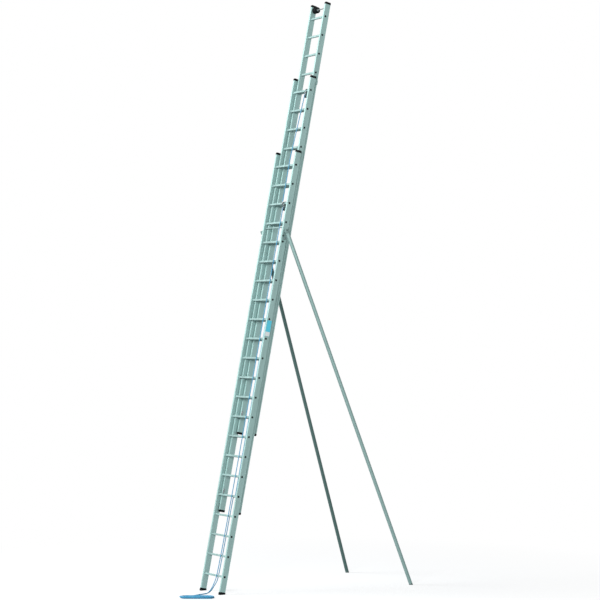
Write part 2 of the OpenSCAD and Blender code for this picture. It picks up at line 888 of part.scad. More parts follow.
module hoist_sheave() { color(plug_black) at_hoist_pulley() sheave(); }

module middle_catch_left() { color(steel) section(MIDDLE) on_side(LEFT) catch_plate(MIDDLE); }

module middle_catch_right() { color(steel) section(MIDDLE) on_side(RIGHT) catch_plate(MIDDLE); }

// ---------------------------------------------------------------- nodes of the top section

module roller_axle_hole() {
    translate([0, roller_y, section_len - roller_drop])
        bar_x(inner_x(TOP) - 1, inner_x(TOP) + stile_wall + 1, axle_d / 2 + seat_fit / 2);
}

module top_stile(side) {
    color(metal)
        section(TOP)
            on_side(side)
                stile(TOP, cap_end) {
                    catch_pin_hole(TOP);
                    roller_axle_hole();
                }
}

module top_stile_left() { top_stile(LEFT); }

module top_stile_right() { top_stile(RIGHT); }

module top_rungs() { section(TOP) rungs(TOP); }

module top_rung_plugs() { section(TOP) rung_plugs(TOP); }

module top_caps() {
    color(plug_black)
        section(TOP) {
            head_caps(TOP);
            tail_caps(TOP);
        }
}

module top_guides() { color(plug_black) section(TOP) both_sides() lower_guide(TOP); }

module top_catch_pins() { color(steel) section(TOP) both_sides() catch_pin(TOP); }

module top_rope_clamp() { color(steel) section(TOP) rope_clamp(hoist_x - 18, hoist_x + 18); }

module top_catch_left() { color(steel) section(TOP) on_side(LEFT) catch_plate(TOP); }

module top_catch_right() { color(steel) section(TOP) on_side(RIGHT) catch_plate(TOP); }

module at_roller() {
    section(TOP) translate([0, roller_y, section_len - roller_drop]) children();
}

roller_gap = 3.5;
hub_r = 18;
hub_out = 2;

// Left end of the roller, next to the left stile, and its right end with the hub.
roller_x0 = -inner_x(TOP) + roller_gap;
roller_x1 = roller_x0 + roller_w + hub_out;

// Axle between the stiles, with a collar that keeps the roller at its left end.
module roller_axle() {
    half = inner_x(TOP) + stile_wall + 3;
    color(steel)
        at_roller() {
            bar_x(-half, half, axle_d / 2);
            bar_x(roller_x1 + 0.5, roller_x1 + 10.5, axle_d / 2 + 5);
        }
}

module roller_tread() {
    color(plug_black)
        at_roller()
            difference() {
                bar_x(roller_x0, roller_x0 + roller_w, roller_d / 2);
                bar_x(roller_x0 - 1, roller_x0 + roller_w + 1, hub_r + seat_fit / 2);
            }
}

module roller_hub() {
    color(steel)
        at_roller()
            difference() {
                bar_x(roller_x0 - hub_out, roller_x0 + roller_w + hub_out, hub_r);
                bar_x(roller_x0 - hub_out - 1, roller_x0 + roller_w + hub_out + 1, axle_d / 2 + run_fit);
            }
}

// ---------------------------------------------------------------- nodes of the stays and the ropes

module stay_yoke_left() { stay_yoke(LEFT); }

module stay_yoke_right() { stay_yoke(RIGHT); }

module stay_pole_left() { stay_pole(LEFT); }

module stay_pole_right() { stay_pole(RIGHT); }

module stay_head_left() { stay_head(LEFT); }

module stay_head_right() { stay_head(RIGHT); }

module stay_foot_left() { stay_foot(LEFT); }

module stay_foot_right() { stay_foot(RIGHT); }

module haul_rope() {
    route = concat([for (p = haul_route) from_section(p)], [for (p = haul_floor_route) from_floor(p)]);
    color(rope_blue) rope_tube(spline(route, 3));
}

module return_rope() {
    route = concat([for (p = return_route) from_section(p)], [for (p = return_floor_route) from_floor(p)]);
    color(rope_blue) rope_tube(spline(route, 3));
}

module pile_outline(width) {
    straight = pile_len - pile_w;
    square([straight, width], center = true);
    for (x = [-straight / 2, straight / 2]) translate([x, 0]) circle(r = width / 2);
}

module rope_pile() {
    color(rope_blue)
        translate([pile_x, pile_y - stand_mid_y, 0.5])
            rotate([0, 0, pile_turn])
                linear_extrude(height = pile_h)
                    difference() {
                        pile_outline(pile_w);
                        pile_outline(pile_hole_w);
                    }
}

// Half turn of rope over a sheave.
module rope_over_sheave() {
    rotate([0, 90, 0])
        rotate([0, 0, 90])
            rotate_extrude(angle = 180) translate([sheave_line, 0]) circle(r = rope_r);
}

// From the haul sheave down behind the rungs to the clamp on the middle section.
module hoist_rope() {
    clamp_z = section_up + rung_z(0) + clamp_half_z + seat_fit;
    color(rope_blue) {
        at_haul_pulley() rope_over_sheave();
        section(BASE)
            translate([hoist_end_x, sheave_rear, clamp_z])
                rotate([0, atan2(haul_x - hoist_end_x, haul_axle_z - clamp_z), 0])
                    cylinder(h = norm([haul_x - hoist_end_x, haul_axle_z - clamp_z]), r = rope_r);
    }
}

module lift_rope() {
    color(rope_blue) rope_tube(spline([for (p = lift_route) from_section(p)], 3));
}

// From the hoist sheave down behind the middle section's rungs to the clamp on the top section.
module lift_rope_rear() {
    clamp_z = section_up + rung_z(0) + clamp_half_z;
    color(rope_blue) {
        at_hoist_pulley() rope_over_sheave();
        section(MIDDLE)
            translate([hoist_x, sheave_rear, clamp_z]) cylinder(h = hoist_axle_z - clamp_z, r = rope_r);
    }
}

base_stile_left();
base_stile_right();
base_rungs();
base_rung_plugs();
base_caps();
base_foot_left();
base_foot_right();
base_guides();
haul_hanger();
haul_axle();
lift_rope_anchor();
stay_bracket_left();
stay_bracket_right();
stay_bracket_bolts();
stay_pivots();
stay_lock_knobs();
stay_tie_bar();
stile_label();
haul_sheave();
middle_stile_left();
middle_stile_right();
middle_rungs();
middle_rung_plugs();
middle_caps();
middle_guides();
middle_upper_guides();
hoist_hanger();
hoist_axle();
middle_catch_pins();
middle_rope_clamp();
hoist_sheave();
middle_catch_left();
middle_catch_right();
top_stile_left();
top_stile_right();
top_rungs();
top_rung_plugs();
top_caps();
top_guides();
top_catch_pins();
top_rope_clamp();
top_catch_left();
top_catch_right();
roller_axle();
roller_tread();
roller_hub();
stay_yoke_left();
stay_yoke_right();
stay_pole_left();
stay_pole_right();
stay_head_left();
stay_head_right();
stay_foot_left();
stay_foot_right();
haul_rope();
return_rope();
rope_pile();
hoist_rope();
lift_rope();
lift_rope_rear();
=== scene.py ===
"""Free-standing rope-operated extension ladder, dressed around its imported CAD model.

Every piece of the ladder has an operator of its own in the sidebar's panel, and main() runs them all.
Lengths are in metres. A section's own frame has x across the ladder, y back from the front face of its
stiles and z up along them; section_frame() is the matrix from there to the ladder's frame.
"""
import json
import math

import bmesh
import bpy
from bpy.props import FloatProperty, FloatVectorProperty, IntProperty, PointerProperty
from mathutils import Matrix, Vector


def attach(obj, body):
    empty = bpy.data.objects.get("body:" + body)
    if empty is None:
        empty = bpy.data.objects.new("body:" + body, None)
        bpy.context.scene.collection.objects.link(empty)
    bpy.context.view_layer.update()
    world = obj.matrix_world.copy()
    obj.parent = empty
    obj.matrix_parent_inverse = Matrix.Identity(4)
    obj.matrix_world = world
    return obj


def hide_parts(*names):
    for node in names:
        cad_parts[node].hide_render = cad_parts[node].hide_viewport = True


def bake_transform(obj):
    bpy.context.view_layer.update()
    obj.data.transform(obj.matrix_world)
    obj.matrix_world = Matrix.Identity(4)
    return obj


bl_info = {
    "name": "Extension ladder",
    "version": (1, 0, 0),
    "blender": (4, 5, 0),
    "location": "View3D > Sidebar > Ladder",
    "description": "Dresses the packed extension ladder with detailed pieces and materials",
    "category": "Object",
}

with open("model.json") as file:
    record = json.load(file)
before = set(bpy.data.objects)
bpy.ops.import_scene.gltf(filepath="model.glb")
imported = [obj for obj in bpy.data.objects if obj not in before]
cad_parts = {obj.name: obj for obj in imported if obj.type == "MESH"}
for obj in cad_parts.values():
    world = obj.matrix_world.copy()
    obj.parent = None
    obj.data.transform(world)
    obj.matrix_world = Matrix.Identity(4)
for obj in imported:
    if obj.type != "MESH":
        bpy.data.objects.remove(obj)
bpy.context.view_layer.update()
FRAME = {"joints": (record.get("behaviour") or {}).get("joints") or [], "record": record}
JOINTS = {joint["name"]: joint for joint in FRAME["joints"]}

BASE, MIDDLE, TOP = 0, 1, 2
SECTION_NAMES = ("base", "middle", "top")
LEFT, RIGHT = -1, 1
SIDES = {"left": LEFT, "right": RIGHT}

MOUNTS = {mount["name"]: Vector(mount["pos_m"]) for mount in FRAME["record"]["mounts"]}

# The slide joint runs along the stiles, so its axis gives the ladder's lean.
SLIDE_AXIS = Vector(JOINTS["middle_slide"]["axis"])
LEAN = math.atan2(SLIDE_AXIS.z, SLIDE_AXIS.y)
# The line on which the base feet stand.
FEET_Y = MOUNTS["base_foot_right_sole"].y
# A stay runs from the pin of its fold joint to the middle of its sole.
STAY_PIVOT = Vector(JOINTS["stay_right_fold"]["pos_m"])
STAY_RUN = MOUNTS["stay_foot_right_sole"] - STAY_PIVOT
STAY_FOLD = math.atan2(STAY_RUN.y, -STAY_RUN.z)
STAY_SPLAY = math.atan2(STAY_RUN.x, math.hypot(STAY_RUN.y, STAY_RUN.z))
STAY_LENGTH = STAY_RUN.length


# ------------------------------------------------------------------ sizes and colours

def millimetres(name, description, value):
    return FloatProperty(name=name, description=description, default=value / 1000, unit="LENGTH",
                         precision=4)


def colour(name, description, value):
    return FloatVectorProperty(name=name, description=description, default=linear(value)[:3],
                               subtype="COLOR", size=3, min=0, max=1)


def linear(value):
    """Linear RGBA of an sRGB hex value such as #A1B2C3."""
    channels = [int(value[i:i + 2], 16) / 255 for i in (1, 3, 5)]
    return [c / 12.92 if c <= 0.04045 else ((c + 0.055) / 1.055) ** 2.4 for c in channels] + [1.0]


class LadderSizes(bpy.types.PropertyGroup):
    """Sizes of the sections"""

    rung_count: IntProperty(name="Rungs", description="Rungs in each section", default=22)
    rung_pitch: millimetres("Rung pitch", "Distance between rung centres", 280)
    first_rung: millimetres("First rung", "Foot end of a section to its first rung centre", 243)
    head_reach: millimetres("Head reach", "Last rung centre to the head end", 202)
    base_width: millimetres("Base width", "Overall width of the base section", 540)
    stile_width: millimetres("Stile width", "Width of a stile across the ladder", 26)
    stile_depth: millimetres("Stile depth", "Depth of a stile, front to back", 90)
    side_gap: millimetres("Side gap", "Gap between the stiles of neighbouring sections", 12.5)
    section_pitch: millimetres("Section pitch", "Front of one section to the front of the next", 55)
    section_step: millimetres("Section step", "Height of a section above the one before", 1120)
    rung_size: millimetres("Rung size", "Side of a square rung", 28)
    rung_depth: millimetres("Rung depth", "Front of the stiles to the rung centres", 36)


class RopeSizes(bpy.types.PropertyGroup):
    """Sizes of the ropes and their hank"""

    diameter: millimetres("Diameter", "Diameter of the ropes", 12)
    plaits: IntProperty(name="Plaits", description="Strands of the braid seen around the rope", default=8)
    hank_turns: IntProperty(name="Hank turns", description="Turns in each layer of the hank", default=4)
    hank_radius: millimetres("Hank radius", "Outermost turn's end radius", 88)
    hank_straight: millimetres("Hank straight", "Straight run of each turn of the hank", 300)


class LadderColours(bpy.types.PropertyGroup):
    """Colours of the finishes"""

    aluminium: colour("Aluminium", "Extruded aluminium of the stiles", "#98B7B4")
    rung: colour("Rungs", "Ribbed aluminium of the rungs", "#93AFAD")
    pole: colour("Stay poles", "Drawn aluminium tube of the stays", "#8BA8A5")
    # The left stay's pole colour is painted shade: the same tube colour as the right stay's, darkened for
    # the shade that the left stay lies in.
    dull_pole: colour("Left stay pole", "Duller aluminium tube of the left stay", "#526D6A")
    plastic: colour("Plastic", "Black moulded nylon", "#030709")
    rubber: colour("Rubber", "Black moulded rubber", "#070C0E")
    zinc: colour("Zinc", "Zinc-plated steel", "#8C9496")
    rope: colour("Rope", "Blue braided polypropylene", "#2E98C6")
    fleck: colour("Rope fleck", "Pale marker yarn in the braid", "#84C4DE")
    sticker: colour("Sticker", "Cyan vinyl sticker", "#55D0EA")


def sizes():
    return bpy.context.scene.ladder_sizes


def ropes():
    return bpy.context.scene.ladder_ropes


def colours():
    return bpy.context.scene.ladder_colours


def section_length():
    s = sizes()
    return s.first_rung + (s.rung_count - 1) * s.rung_pitch + s.head_reach


def rung_height(number):
    return sizes().first_rung + number * sizes().rung_pitch


def outer_x(section):
    return sizes().base_width / 2 - section * (sizes().stile_width + sizes().side_gap)


def inner_x(section):
    return outer_x(section) - sizes().stile_width


def section_frame(section):
    """The matrix from a section's own frame to the ladder's."""
    s = sizes()
    return (Matrix.Translation((0, FEET_Y, 0))
            @ Matrix.Rotation(LEAN - math.pi / 2, 4, "X")
            @ Matrix.Translation((0, section * s.section_pitch - s.stile_depth / 2,
                                  section * s.section_step)))


def stay_frame(side):
    """The matrix from a stay's own frame, with its pivot at the origin and z up the pole."""
    return (Matrix.Translation((side * STAY_PIVOT.x, STAY_PIVOT.y, STAY_PIVOT.z))
            @ Matrix.Rotation(STAY_FOLD, 4, "X")
            @ Matrix.Rotation(-side * STAY_SPLAY, 4, "Y"))


def yoke_frame(side):
    return (Matrix.Translation((side * STAY_PIVOT.x, STAY_PIVOT.y, STAY_PIVOT.z))
            @ Matrix.Rotation(STAY_FOLD, 4, "X"))


# ------------------------------------------------------------------ materials

def add_node(owner, kind, at, links=None, **settings):
    """Adds a node to a material's or a world's tree.

    Links give its inputs another node's output or a number, and settings name its properties or, with
    _ for a space, its inputs.
    """
    tree = owner.node_tree
    node = tree.nodes.new(kind)
    node.location = at
    for name, value in settings.items():
        if hasattr(node, name) and name not in {s.name for s in node.inputs}:
            setattr(node, name, value)
        else:
            node.inputs[name.replace("_", " ")].default_value = value
    for socket, source in (links or {}).items():
        if isinstance(source, bpy.types.NodeSocket):
            tree.links.new(source, node.inputs[socket])
        else:
            node.inputs[socket].default_value = source
    return node


def start_material(name, **settings):
    """A material with a Principled shader and the settings of its sockets; returns it and the shader."""
    material = bpy.data.materials.new(name)
    material.use_nodes = True
    material.node_tree.nodes.clear()
    shader = add_node(material, "ShaderNodeBsdfPrincipled", (300, 0), **settings)
    add_node(material, "ShaderNodeOutputMaterial", (600, 0), {"Surface": shader.outputs[0]})
    return material, shader


def per_metre(size):
    """How many times a pattern of that size in millimetres fits in a metre."""
    return 1000 / size


def toned(rgb, factor):
    return [min(1.0, c * factor) for c in rgb[:3]] + [1.0]


def object_place(material):
    return add_node(material, "ShaderNodeTexCoord", (-1100, 0)).outputs["Object"]


def drawn_out(material, across, along, lean=math.pi / 2 - LEAN):
    """Object position in patterns of so many millimetres across and along a profile with that lean."""
    turned = add_node(material, "ShaderNodeMapping", (-900, 0), {"Vector": object_place(material)},
                      Rotation=(lean, 0, 0))
    scaled = add_node(material, "ShaderNodeMapping", (-700, 0), {"Vector": turned.outputs[0]},
                      Scale=(per_metre(across), per_metre(across), per_metre(along)))
    return scaled.outputs[0]


def lay_finish(material, shader, tone, rough=None, relief=None):
    """Lays a finish's patterns on its shader.

    tone is (pattern, colour, darkest, lightest, start, end): between start and end of the pattern, the
    colour goes from darkest to lightest times its own value. rough is (pattern, least, most) and relief
    is (pattern, strength, depth). Returns the colour's output.
    """
    pattern, rgb, darkest, lightest, start, end = tone
    ramp = add_node(material, "ShaderNodeValToRGB", (60, 100), {"Fac": pattern})
    for element, factor, position in zip(ramp.color_ramp.elements, (darkest, lightest), (start, end)):
        element.color = toned(rgb, factor)
        element.position = position
    link = material.node_tree.links.new
    link(ramp.outputs[0], shader.inputs["Base Color"])
    if rough:
        pattern, least, most = rough
        level = add_node(material, "ShaderNodeMapRange", (60, -150), {"Value": pattern},
                         To_Min=least, To_Max=most)
        link(level.outputs[0], shader.inputs["Roughness"])
    if relief:
        pattern, strength, depth = relief
        bump = add_node(material, "ShaderNodeBump", (60, -350), {"Height": pattern}, Strength=strength,
                        Distance=depth)
        link(bump.outputs[0], shader.inputs["Normal"])
    return ramp.outputs[0]


# An oxide bloom scatters most of the light that falls on unpolished aluminium.
METAL_SHARE = 0.35
# Bare oxide stays grey at a glancing view, where a polished metal would turn white.
GLANCE = (0.55, 0.62, 0.62, 1.0)
# Textured black mouldings shine only a little.
DULL_SHINE = 0.12


def extruded_aluminium(name, rgb):
    """Mill-finish extruded aluminium.

    Its die lines, 2.4 mm apart, give a fine grain along the profile. The oxide bloom, in clouds of
    110 x 400 mm, dulls it unevenly.
    """
    material, shader = start_material(name, Metallic=METAL_SHARE, Roughness=0.5, Specular_Tint=GLANCE)
    lines = add_node(material, "ShaderNodeTexNoise", (-450, 100), {"Vector": drawn_out(material, 2.4, 1700)},
                     Scale=1.0, Detail=2.0).outputs["Fac"]
    bloom = add_node(material, "ShaderNodeTexNoise", (-450, -200), {"Vector": drawn_out(material, 110, 400)},
                     Scale=1.0, Detail=4.0).outputs["Fac"]
    both = add_node(material, "ShaderNodeMath", (-200, 0), {0: lines, 1: bloom}, operation="ADD").outputs[0]
    lay_finish(material, shader, (both, rgb, 0.90, 1.08, 0.70, 1.0), (bloom, 0.42, 0.60),
               (lines, 0.10, 0.0004))
    return material


def ribbed_aluminium(name, rgb):
    """Extruded aluminium of the rungs.

    Shoes leave scuffs of 55 x 33 mm, which are paler and rougher than the metal between them. The
    anti-slip ribs are in the mesh.
    """
    material, shader = start_material(name, Metallic=METAL_SHARE, Roughness=0.45, Specular_Tint=GLANCE)
    scuffs = add_node(material, "ShaderNodeTexNoise", (-450, -150), {"Vector": drawn_out(material, 55, 33)},
                      Scale=1.0, Detail=6.0).outputs["Fac"]
    lay_finish(material, shader, (scuffs, rgb, 0.88, 1.10, 0.35, 0.65), (scuffs, 0.38, 0.55),
               (scuffs, 0.15, 0.0004))
    return material


def drawn_tube(name, rgb):
    """Drawn and anodised aluminium tube: an even satin, with faint scratches of 17 x 330 mm along it."""
    material, shader = start_material(name, Metallic=METAL_SHARE, Roughness=0.5, Specular_Tint=GLANCE)
    along = {"Vector": drawn_out(material, 17, 330, lean=0)}
    scratches = add_node(material, "ShaderNodeTexNoise", (-450, 0), along, Scale=1.0,
                         Detail=4.0).outputs["Fac"]
    lay_finish(material, shader, (scratches, rgb, 0.96, 1.03, 0.3, 0.7), (scratches, 0.42, 0.58))
    return material


def zinc_plated_steel(name, rgb):
    """Pressed steel with bright zinc plating: a faint spangle of 5.5 mm, dulled in patches by handling."""
    material, shader = start_material(name, Metallic=1.0, Roughness=0.34)
    place = {"Vector": object_place(material)}
    spangle = add_node(material, "ShaderNodeTexVoronoi", (-450, 100), place, Scale=per_metre(5.5))
    marks = add_node(material, "ShaderNodeTexNoise", (-450, -150), place, Scale=per_metre(14), Detail=5.0)
    lay_finish(material, shader, (spangle.outputs["Distance"], rgb, 0.85, 1.1, 0, 1),
               (marks.outputs["Fac"], 0.26, 0.46))
    return material


def moulded_nylon(name, rgb):
    """Injection-moulded black nylon.

    A spark-eroded grain of 1.1 mm gives a soft sheen, and patches of 38 mm are worn paler.
    """
    material, shader = start_material(name, Roughness=0.45, IOR=1.5, Specular_IOR_Level=DULL_SHINE)
    place = {"Vector": object_place(material)}
    grain = add_node(material, "ShaderNodeTexNoise", (-450, 0), place, Scale=per_metre(1.1), Detail=3.0)
    wear = add_node(material, "ShaderNodeTexNoise", (-450, -250), place, Scale=per_metre(38), Detail=4.0)
    lay_finish(material, shader, (wear.outputs["Fac"], rgb, 0.8, 1.5, 0.4, 0.7),
               relief=(grain.outputs["Fac"], 0.25, 0.0003))
    return material


def moulded_rubber(name, rgb):
    """Moulded rubber: dull, with a pebbled skin of 1.7 mm and a little dust in patches."""
    material, shader = start_material(name, Roughness=0.75, IOR=1.52, Specular_IOR_Level=DULL_SHINE)
    place = {"Vector": object_place(material)}
    pebble = add_node(material, "ShaderNodeTexVoronoi", (-450, 0), place, Scale=per_metre(1.7))
    dust = add_node(material, "ShaderNodeTexNoise", (-450, -250), place, Scale=per_metre(29), Detail=5.0)
    lay_finish(material, shader, (dust.outputs["Fac"], rgb, 0.9, 2.2, 0.45, 0.8),
               relief=(pebble.outputs["Distance"], 0.3, 0.0004))
    return material


def braided_polypropylene(name, rgb, fleck, plaits):
    """Braided polypropylene rope.

    Its plaits cross once in each rope's diameter, with painted shade in the valleys between them, and one
    pale marker yarn winds round it. The fibres scatter light as a faint sheen.
    """
    material, shader = start_material(name, Roughness=0.55, IOR=1.49, Sheen_Weight=0.25, Sheen_Roughness=0.4)
    around = add_node(material, "ShaderNodeUVMap", (-1300, 0), uv_map="rope")
    split = add_node(material, "ShaderNodeSeparateXYZ", (-1100, 0), {0: around.outputs[0]})

    def plait(direction, height):
        turned = add_node(material, "ShaderNodeMath", (-900, height),
                          {0: split.outputs[1], 1: plaits * direction / 2}, operation="MULTIPLY")
        summed = add_node(material, "ShaderNodeMath", (-750, height),
                          {0: split.outputs[0], 1: turned.outputs[0]}, operation="ADD")
        return add_node(material, "ShaderNodeMath", (-600, height), {0: summed.outputs[0], 1: 0.5},
                        operation="PINGPONG").outputs[0]

    left_plait, right_plait = plait(1, 200), plait(-1, -100)
    weave = add_node(material, "ShaderNodeMath", (-400, 50), {0: left_plait, 1: right_plait},
                     operation="MULTIPLY").outputs[0]
    marker = add_node(material, "ShaderNodeMath", (-400, -200), {0: left_plait, 1: 0.47},
                      operation="GREATER_THAN")
    # Below 0.12 of the weave the colour drops towards half of the rope's: painted shade in the valleys
    # between the plaits.
    shade = lay_finish(material, shader, (weave, rgb, 0.50, 1.12, 0, 0.12), relief=(weave, 0.8, 0.0012))
    mix = add_node(material, "ShaderNodeMixRGB", (180, 100), {"Fac": marker.outputs[0], "Color1": shade},
                   Color2=toned(fleck, 1))
    material.node_tree.links.new(mix.outputs[0], shader.inputs["Base Color"])
    return material


def printed_vinyl(name, rgb):
    """Plain printed vinyl: an even ink under a clear gloss, a little faded in patches of 70 mm."""
    material, shader = start_material(name, Roughness=0.35, IOR=1.5, Coat_Weight=0.3)
    fade = add_node(material, "ShaderNodeTexNoise", (-450, 0), {"Vector": object_place(material)},
                    Scale=per_metre(70), Detail=3.0)
    lay_finish(material, shader, (fade.outputs["Fac"], rgb, 0.92, 1.1, 0, 1))
    return material


MATERIALS = {}


def make_materials():
    c = colours()
    MATERIALS.update(
        stile=extruded_aluminium("extruded_aluminium_stile", c.aluminium),
        rung=ribbed_aluminium("ribbed_aluminium_rung", c.rung),
        pole=drawn_tube("drawn_aluminium_tube", c.pole),
        # The left stay's tube is the same drawn tube with painted shade in its darker colour.
        dull_pole=drawn_tube("aluminium_tube_painted_shade", c.dull_pole),
        cast=extruded_aluminium("cast_aluminium_fitting", toned(c.aluminium, 0.7)),
        zinc=zinc_plated_steel("zinc_plated_steel", c.zinc),
        nylon=moulded_nylon("moulded_black_nylon", c.plastic),
        rubber=moulded_rubber("moulded_black_rubber", c.rubber),
        grey_rubber=moulded_rubber("moulded_grey_rubber", linear("#6F7F7D")),
        rope=braided_polypropylene("braided_polypropylene", c.rope, c.fleck, ropes().plaits),
        sticker=printed_vinyl("printed_vinyl_cyan", c.sticker),
        sticker_white=printed_vinyl("printed_vinyl_white", linear("#E8EFF0")),
    )


# ------------------------------------------------------------------ mesh building

UPRIGHT = Matrix.Identity(4)
# Turns z into +x: an outline in (y, z) becomes a plate across the ladder.
ACROSS = Matrix(((0, 0, 1, 0), (1, 0, 0, 0), (0, 1, 0, 0), (0, 0, 0, 1)))
BACKWARDS = Matrix.Rotation(-math.pi / 2, 4, "X")
FORWARDS = Matrix.Rotation(math.pi / 2, 4, "X")


def moved(x=0.0, y=0.0, z=0.0):
    return Matrix.Translation((x, y, z))


def mirrored(side):
    """Turns a shape made for the right side into one for that side."""
    return Matrix.Scale(side, 4, (1, 0, 0))


def join(tree, part, matrix):
    """Adds a finished part to a piece's mesh."""
    bmesh.ops.transform(part, matrix=matrix, verts=part.verts)
    bmesh.ops.recalc_face_normals(part, faces=part.faces)
    mesh = bpy.data.meshes.new("part")
    part.to_mesh(mesh)
    part.free()
    tree.from_mesh(mesh)
    bpy.data.meshes.remove(mesh)


def add_loft(tree, loops, matrix=UPRIGHT, closed=False):
    """A skin through loops with the same number of points; its ends are filled unless it is closed."""
    part = bmesh.new()
    rings = [[part.verts.new(point) for point in loop] for loop in loops]
    count = len(rings[0])
    for a, b in zip(rings, rings[1:] + rings[:1] if closed else rings[1:]):
        for i in range(count):
            j = (i + 1) % count
            part.faces.new((a[i], a[j], b[j], b[i]))
    if not closed:
        part.faces.new(rings[0][::-1])
        part.faces.new(rings[-1])
    join(tree, part, matrix)


def soften(part, edges, bevel, steps):
    bmesh.ops.bevel(part, geom=edges, offset=bevel, segments=steps, profile=0.5, affect="EDGES",
                    clamp_overlap=True)


def add_plate(tree, outline, thickness, matrix=UPRIGHT, holes=(), bevel=0.0008, steps=2):
    """A flat plate from an outline in x and y, with holes and softened rims."""
    part = bmesh.new()
    edges = []
    for loop in (outline, *holes):
        ring = [part.verts.new((x, y, 0)) for x, y in loop]
        edges += [part.edges.new((ring[i - 1], ring[i])) for i in range(len(ring))]
    filled = bmesh.ops.triangle_fill(part, use_beauty=True, edges=edges)["geom"]
    flat = [f for f in filled if isinstance(f, bmesh.types.BMFace)]
    raised = bmesh.ops.extrude_face_region(part, geom=flat, use_keep_orig=True)["geom"]
    top = [v for v in raised if isinstance(v, bmesh.types.BMVert)]
    bmesh.ops.translate(part, vec=(0, 0, thickness), verts=top)
    bmesh.ops.recalc_face_normals(part, faces=part.faces)
    if bevel:
        rims = [e for e in part.edges if len(e.link_faces) == 2
                and (abs(e.link_faces[0].normal.z) > 0.9) != (abs(e.link_faces[1].normal.z) > 0.9)]
        soften(part, rims, bevel, steps)
    join(tree, part, matrix)


BOX_BEVEL = 0.002


def add_box(tree, low, high, matrix=UPRIGHT):
    """A box between two corners with rounded edges."""
    part = bmesh.new()
    bmesh.ops.create_cube(part, size=1.0)
    bmesh.ops.scale(part, vec=[b - a for a, b in zip(low, high)], verts=part.verts)
    bmesh.ops.translate(part, vec=[(a + b) / 2 for a, b in zip(low, high)], verts=part.verts)
    soften(part, part.edges[:], BOX_BEVEL, 2)
    join(tree, part, matrix)


def add_lathe(tree, profile, matrix=UPRIGHT, steps=32, closed=False):
    """Turns a profile of (radius, height) points about z. A radius of 0 closes the shape."""
    part = bmesh.new()
    rings = []
    for radius, height in profile:
        if radius == 0:
            rings.append([part.verts.new((0, 0, height))])
        else:
            rings.append([part.verts.new((x, y, height)) for x, y in circle(radius, steps)])
    for a, b in zip(rings, rings[1:] + rings[:1] if closed else rings[1:]):
        for i in range(steps):
            j = (i + 1) % steps
            corners = [a[i % len(a)], a[j % len(a)], b[j % len(b)], b[i % len(b)]]
            part.faces.new(list(dict.fromkeys(corners)))
    join(tree, part, matrix)


def circle(radius, steps=32, x=0.0, y=0.0, start=0.0):
    return [(x + radius * math.cos(start + 2 * math.pi * i / steps),
             y + radius * math.sin(start + 2 * math.pi * i / steps)) for i in range(steps)]


def arc(radius, first, last, steps, x=0.0, y=0.0):
    """Points of an arc between two angles in degrees."""
    angles = [math.radians(first + (last - first) * i / steps) for i in range(steps + 1)]
    return [(x + radius * math.cos(angle), y + radius * math.sin(angle)) for angle in angles]


def rounded_rectangle(x0, y0, x1, y1, radius, steps=4):
    """Outline from the corner at (x1, y1), anticlockwise."""
    corners = ((x1 - radius, y1 - radius), (x0 + radius, y1 - radius),
               (x0 + radius, y0 + radius), (x1 - radius, y0 + radius))
    return [point for k, (x, y) in enumerate(corners)
            for point in arc(radius, 90 * k, 90 * k + 90, steps, x, y)]


def rounded_square(half, radius):
    return rounded_rectangle(-half, -half, half, half, radius)


def at_height(outline, z):
    return [(x, y, z) for x, y in outline]


def add_bar(tree, radius, length, matrix=UPRIGHT, edge=0.0006, steps=24):
    """A round bar from z = 0 up, with rounded ends."""
    add_lathe(tree, [(0, 0), (radius - edge, 0), (radius, edge), (radius, length - edge),
                     (radius - edge, length), (0, length)], matrix, steps)


def add_ring(tree, bore, radius, length, matrix=UPRIGHT, edge=0.001, steps=48):
    """A tube from z = 0 up, with bevelled outer rims."""
    add_lathe(tree, [(bore, 0), (radius - edge, 0), (radius, edge), (radius, length - edge),
                     (radius - edge, length), (bore, length)], matrix, steps, closed=True)


def add_hexagon(tree, across, height, matrix=UPRIGHT):
    """A nut or a bolt head from z = 0 up, with its corners turned down at the top."""
    radius = across / math.sqrt(3)
    chamfer = across * 0.07
    add_loft(tree, [at_height(circle(radius, 6), 0), at_height(circle(radius, 6), height - chamfer / 2),
                    at_height(circle(radius - chamfer, 6), height)], matrix)


WASHER_T = 0.0015
WASHER_EDGE = 0.0003
BOLT_HEAD = 0.0045


def add_bolt_head(tree, matrix, across, washer):
    """A washer of that radius and a hexagon head that wide across its flats, from z = 0 up."""
    add_lathe(tree, [(0, 0), (washer, 0), (washer, WASHER_T - WASHER_EDGE), (washer - WASHER_EDGE, WASHER_T),
                     (0, WASHER_T)], matrix)
    add_hexagon(tree, across, BOLT_HEAD, matrix @ moved(z=WASHER_T))


RIVET_SUNK = 0.0005


def add_rivet(tree, matrix, radius=0.004, height=0.002):
    """A domed rivet head from z = 0 up, let a little into what it holds."""
    add_lathe(tree, [(0, -RIVET_SUNK), (radius, -RIVET_SUNK), (radius, 0), (radius * 0.85, height * 0.6),
                     (radius * 0.5, height * 0.93), (0, height)], matrix, 16)


def new_piece(name, tree, material, body, frame=UPRIGHT, replaced=(), smooth=35):
    """Turns a mesh in its own frame into a finished piece that stands for the replaced nodes.

    Edges that turn less than smooth degrees are shaded smooth.
    """
    bmesh.ops.transform(tree, matrix=frame, verts=tree.verts)
    if frame.determinant() < 0:
        bmesh.ops.reverse_faces(tree, faces=tree.faces)
    for edge in tree.edges:
        edge.smooth = len(edge.link_faces) == 2 and edge.calc_face_angle(0) < math.radians(smooth)
    for face in tree.faces:
        face.smooth = True
    mesh = bpy.data.meshes.new(name)
    tree.to_mesh(mesh)
    tree.free()
    mesh.materials.append(MATERIALS[material])
    piece = bpy.data.objects.new(name, mesh)
    bpy.context.scene.collection.objects.link(piece)
    if isinstance(body, tuple):
        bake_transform(piece)
    else:
        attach(piece, body)
    if replaced:
        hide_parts(*replaced)
    return piece


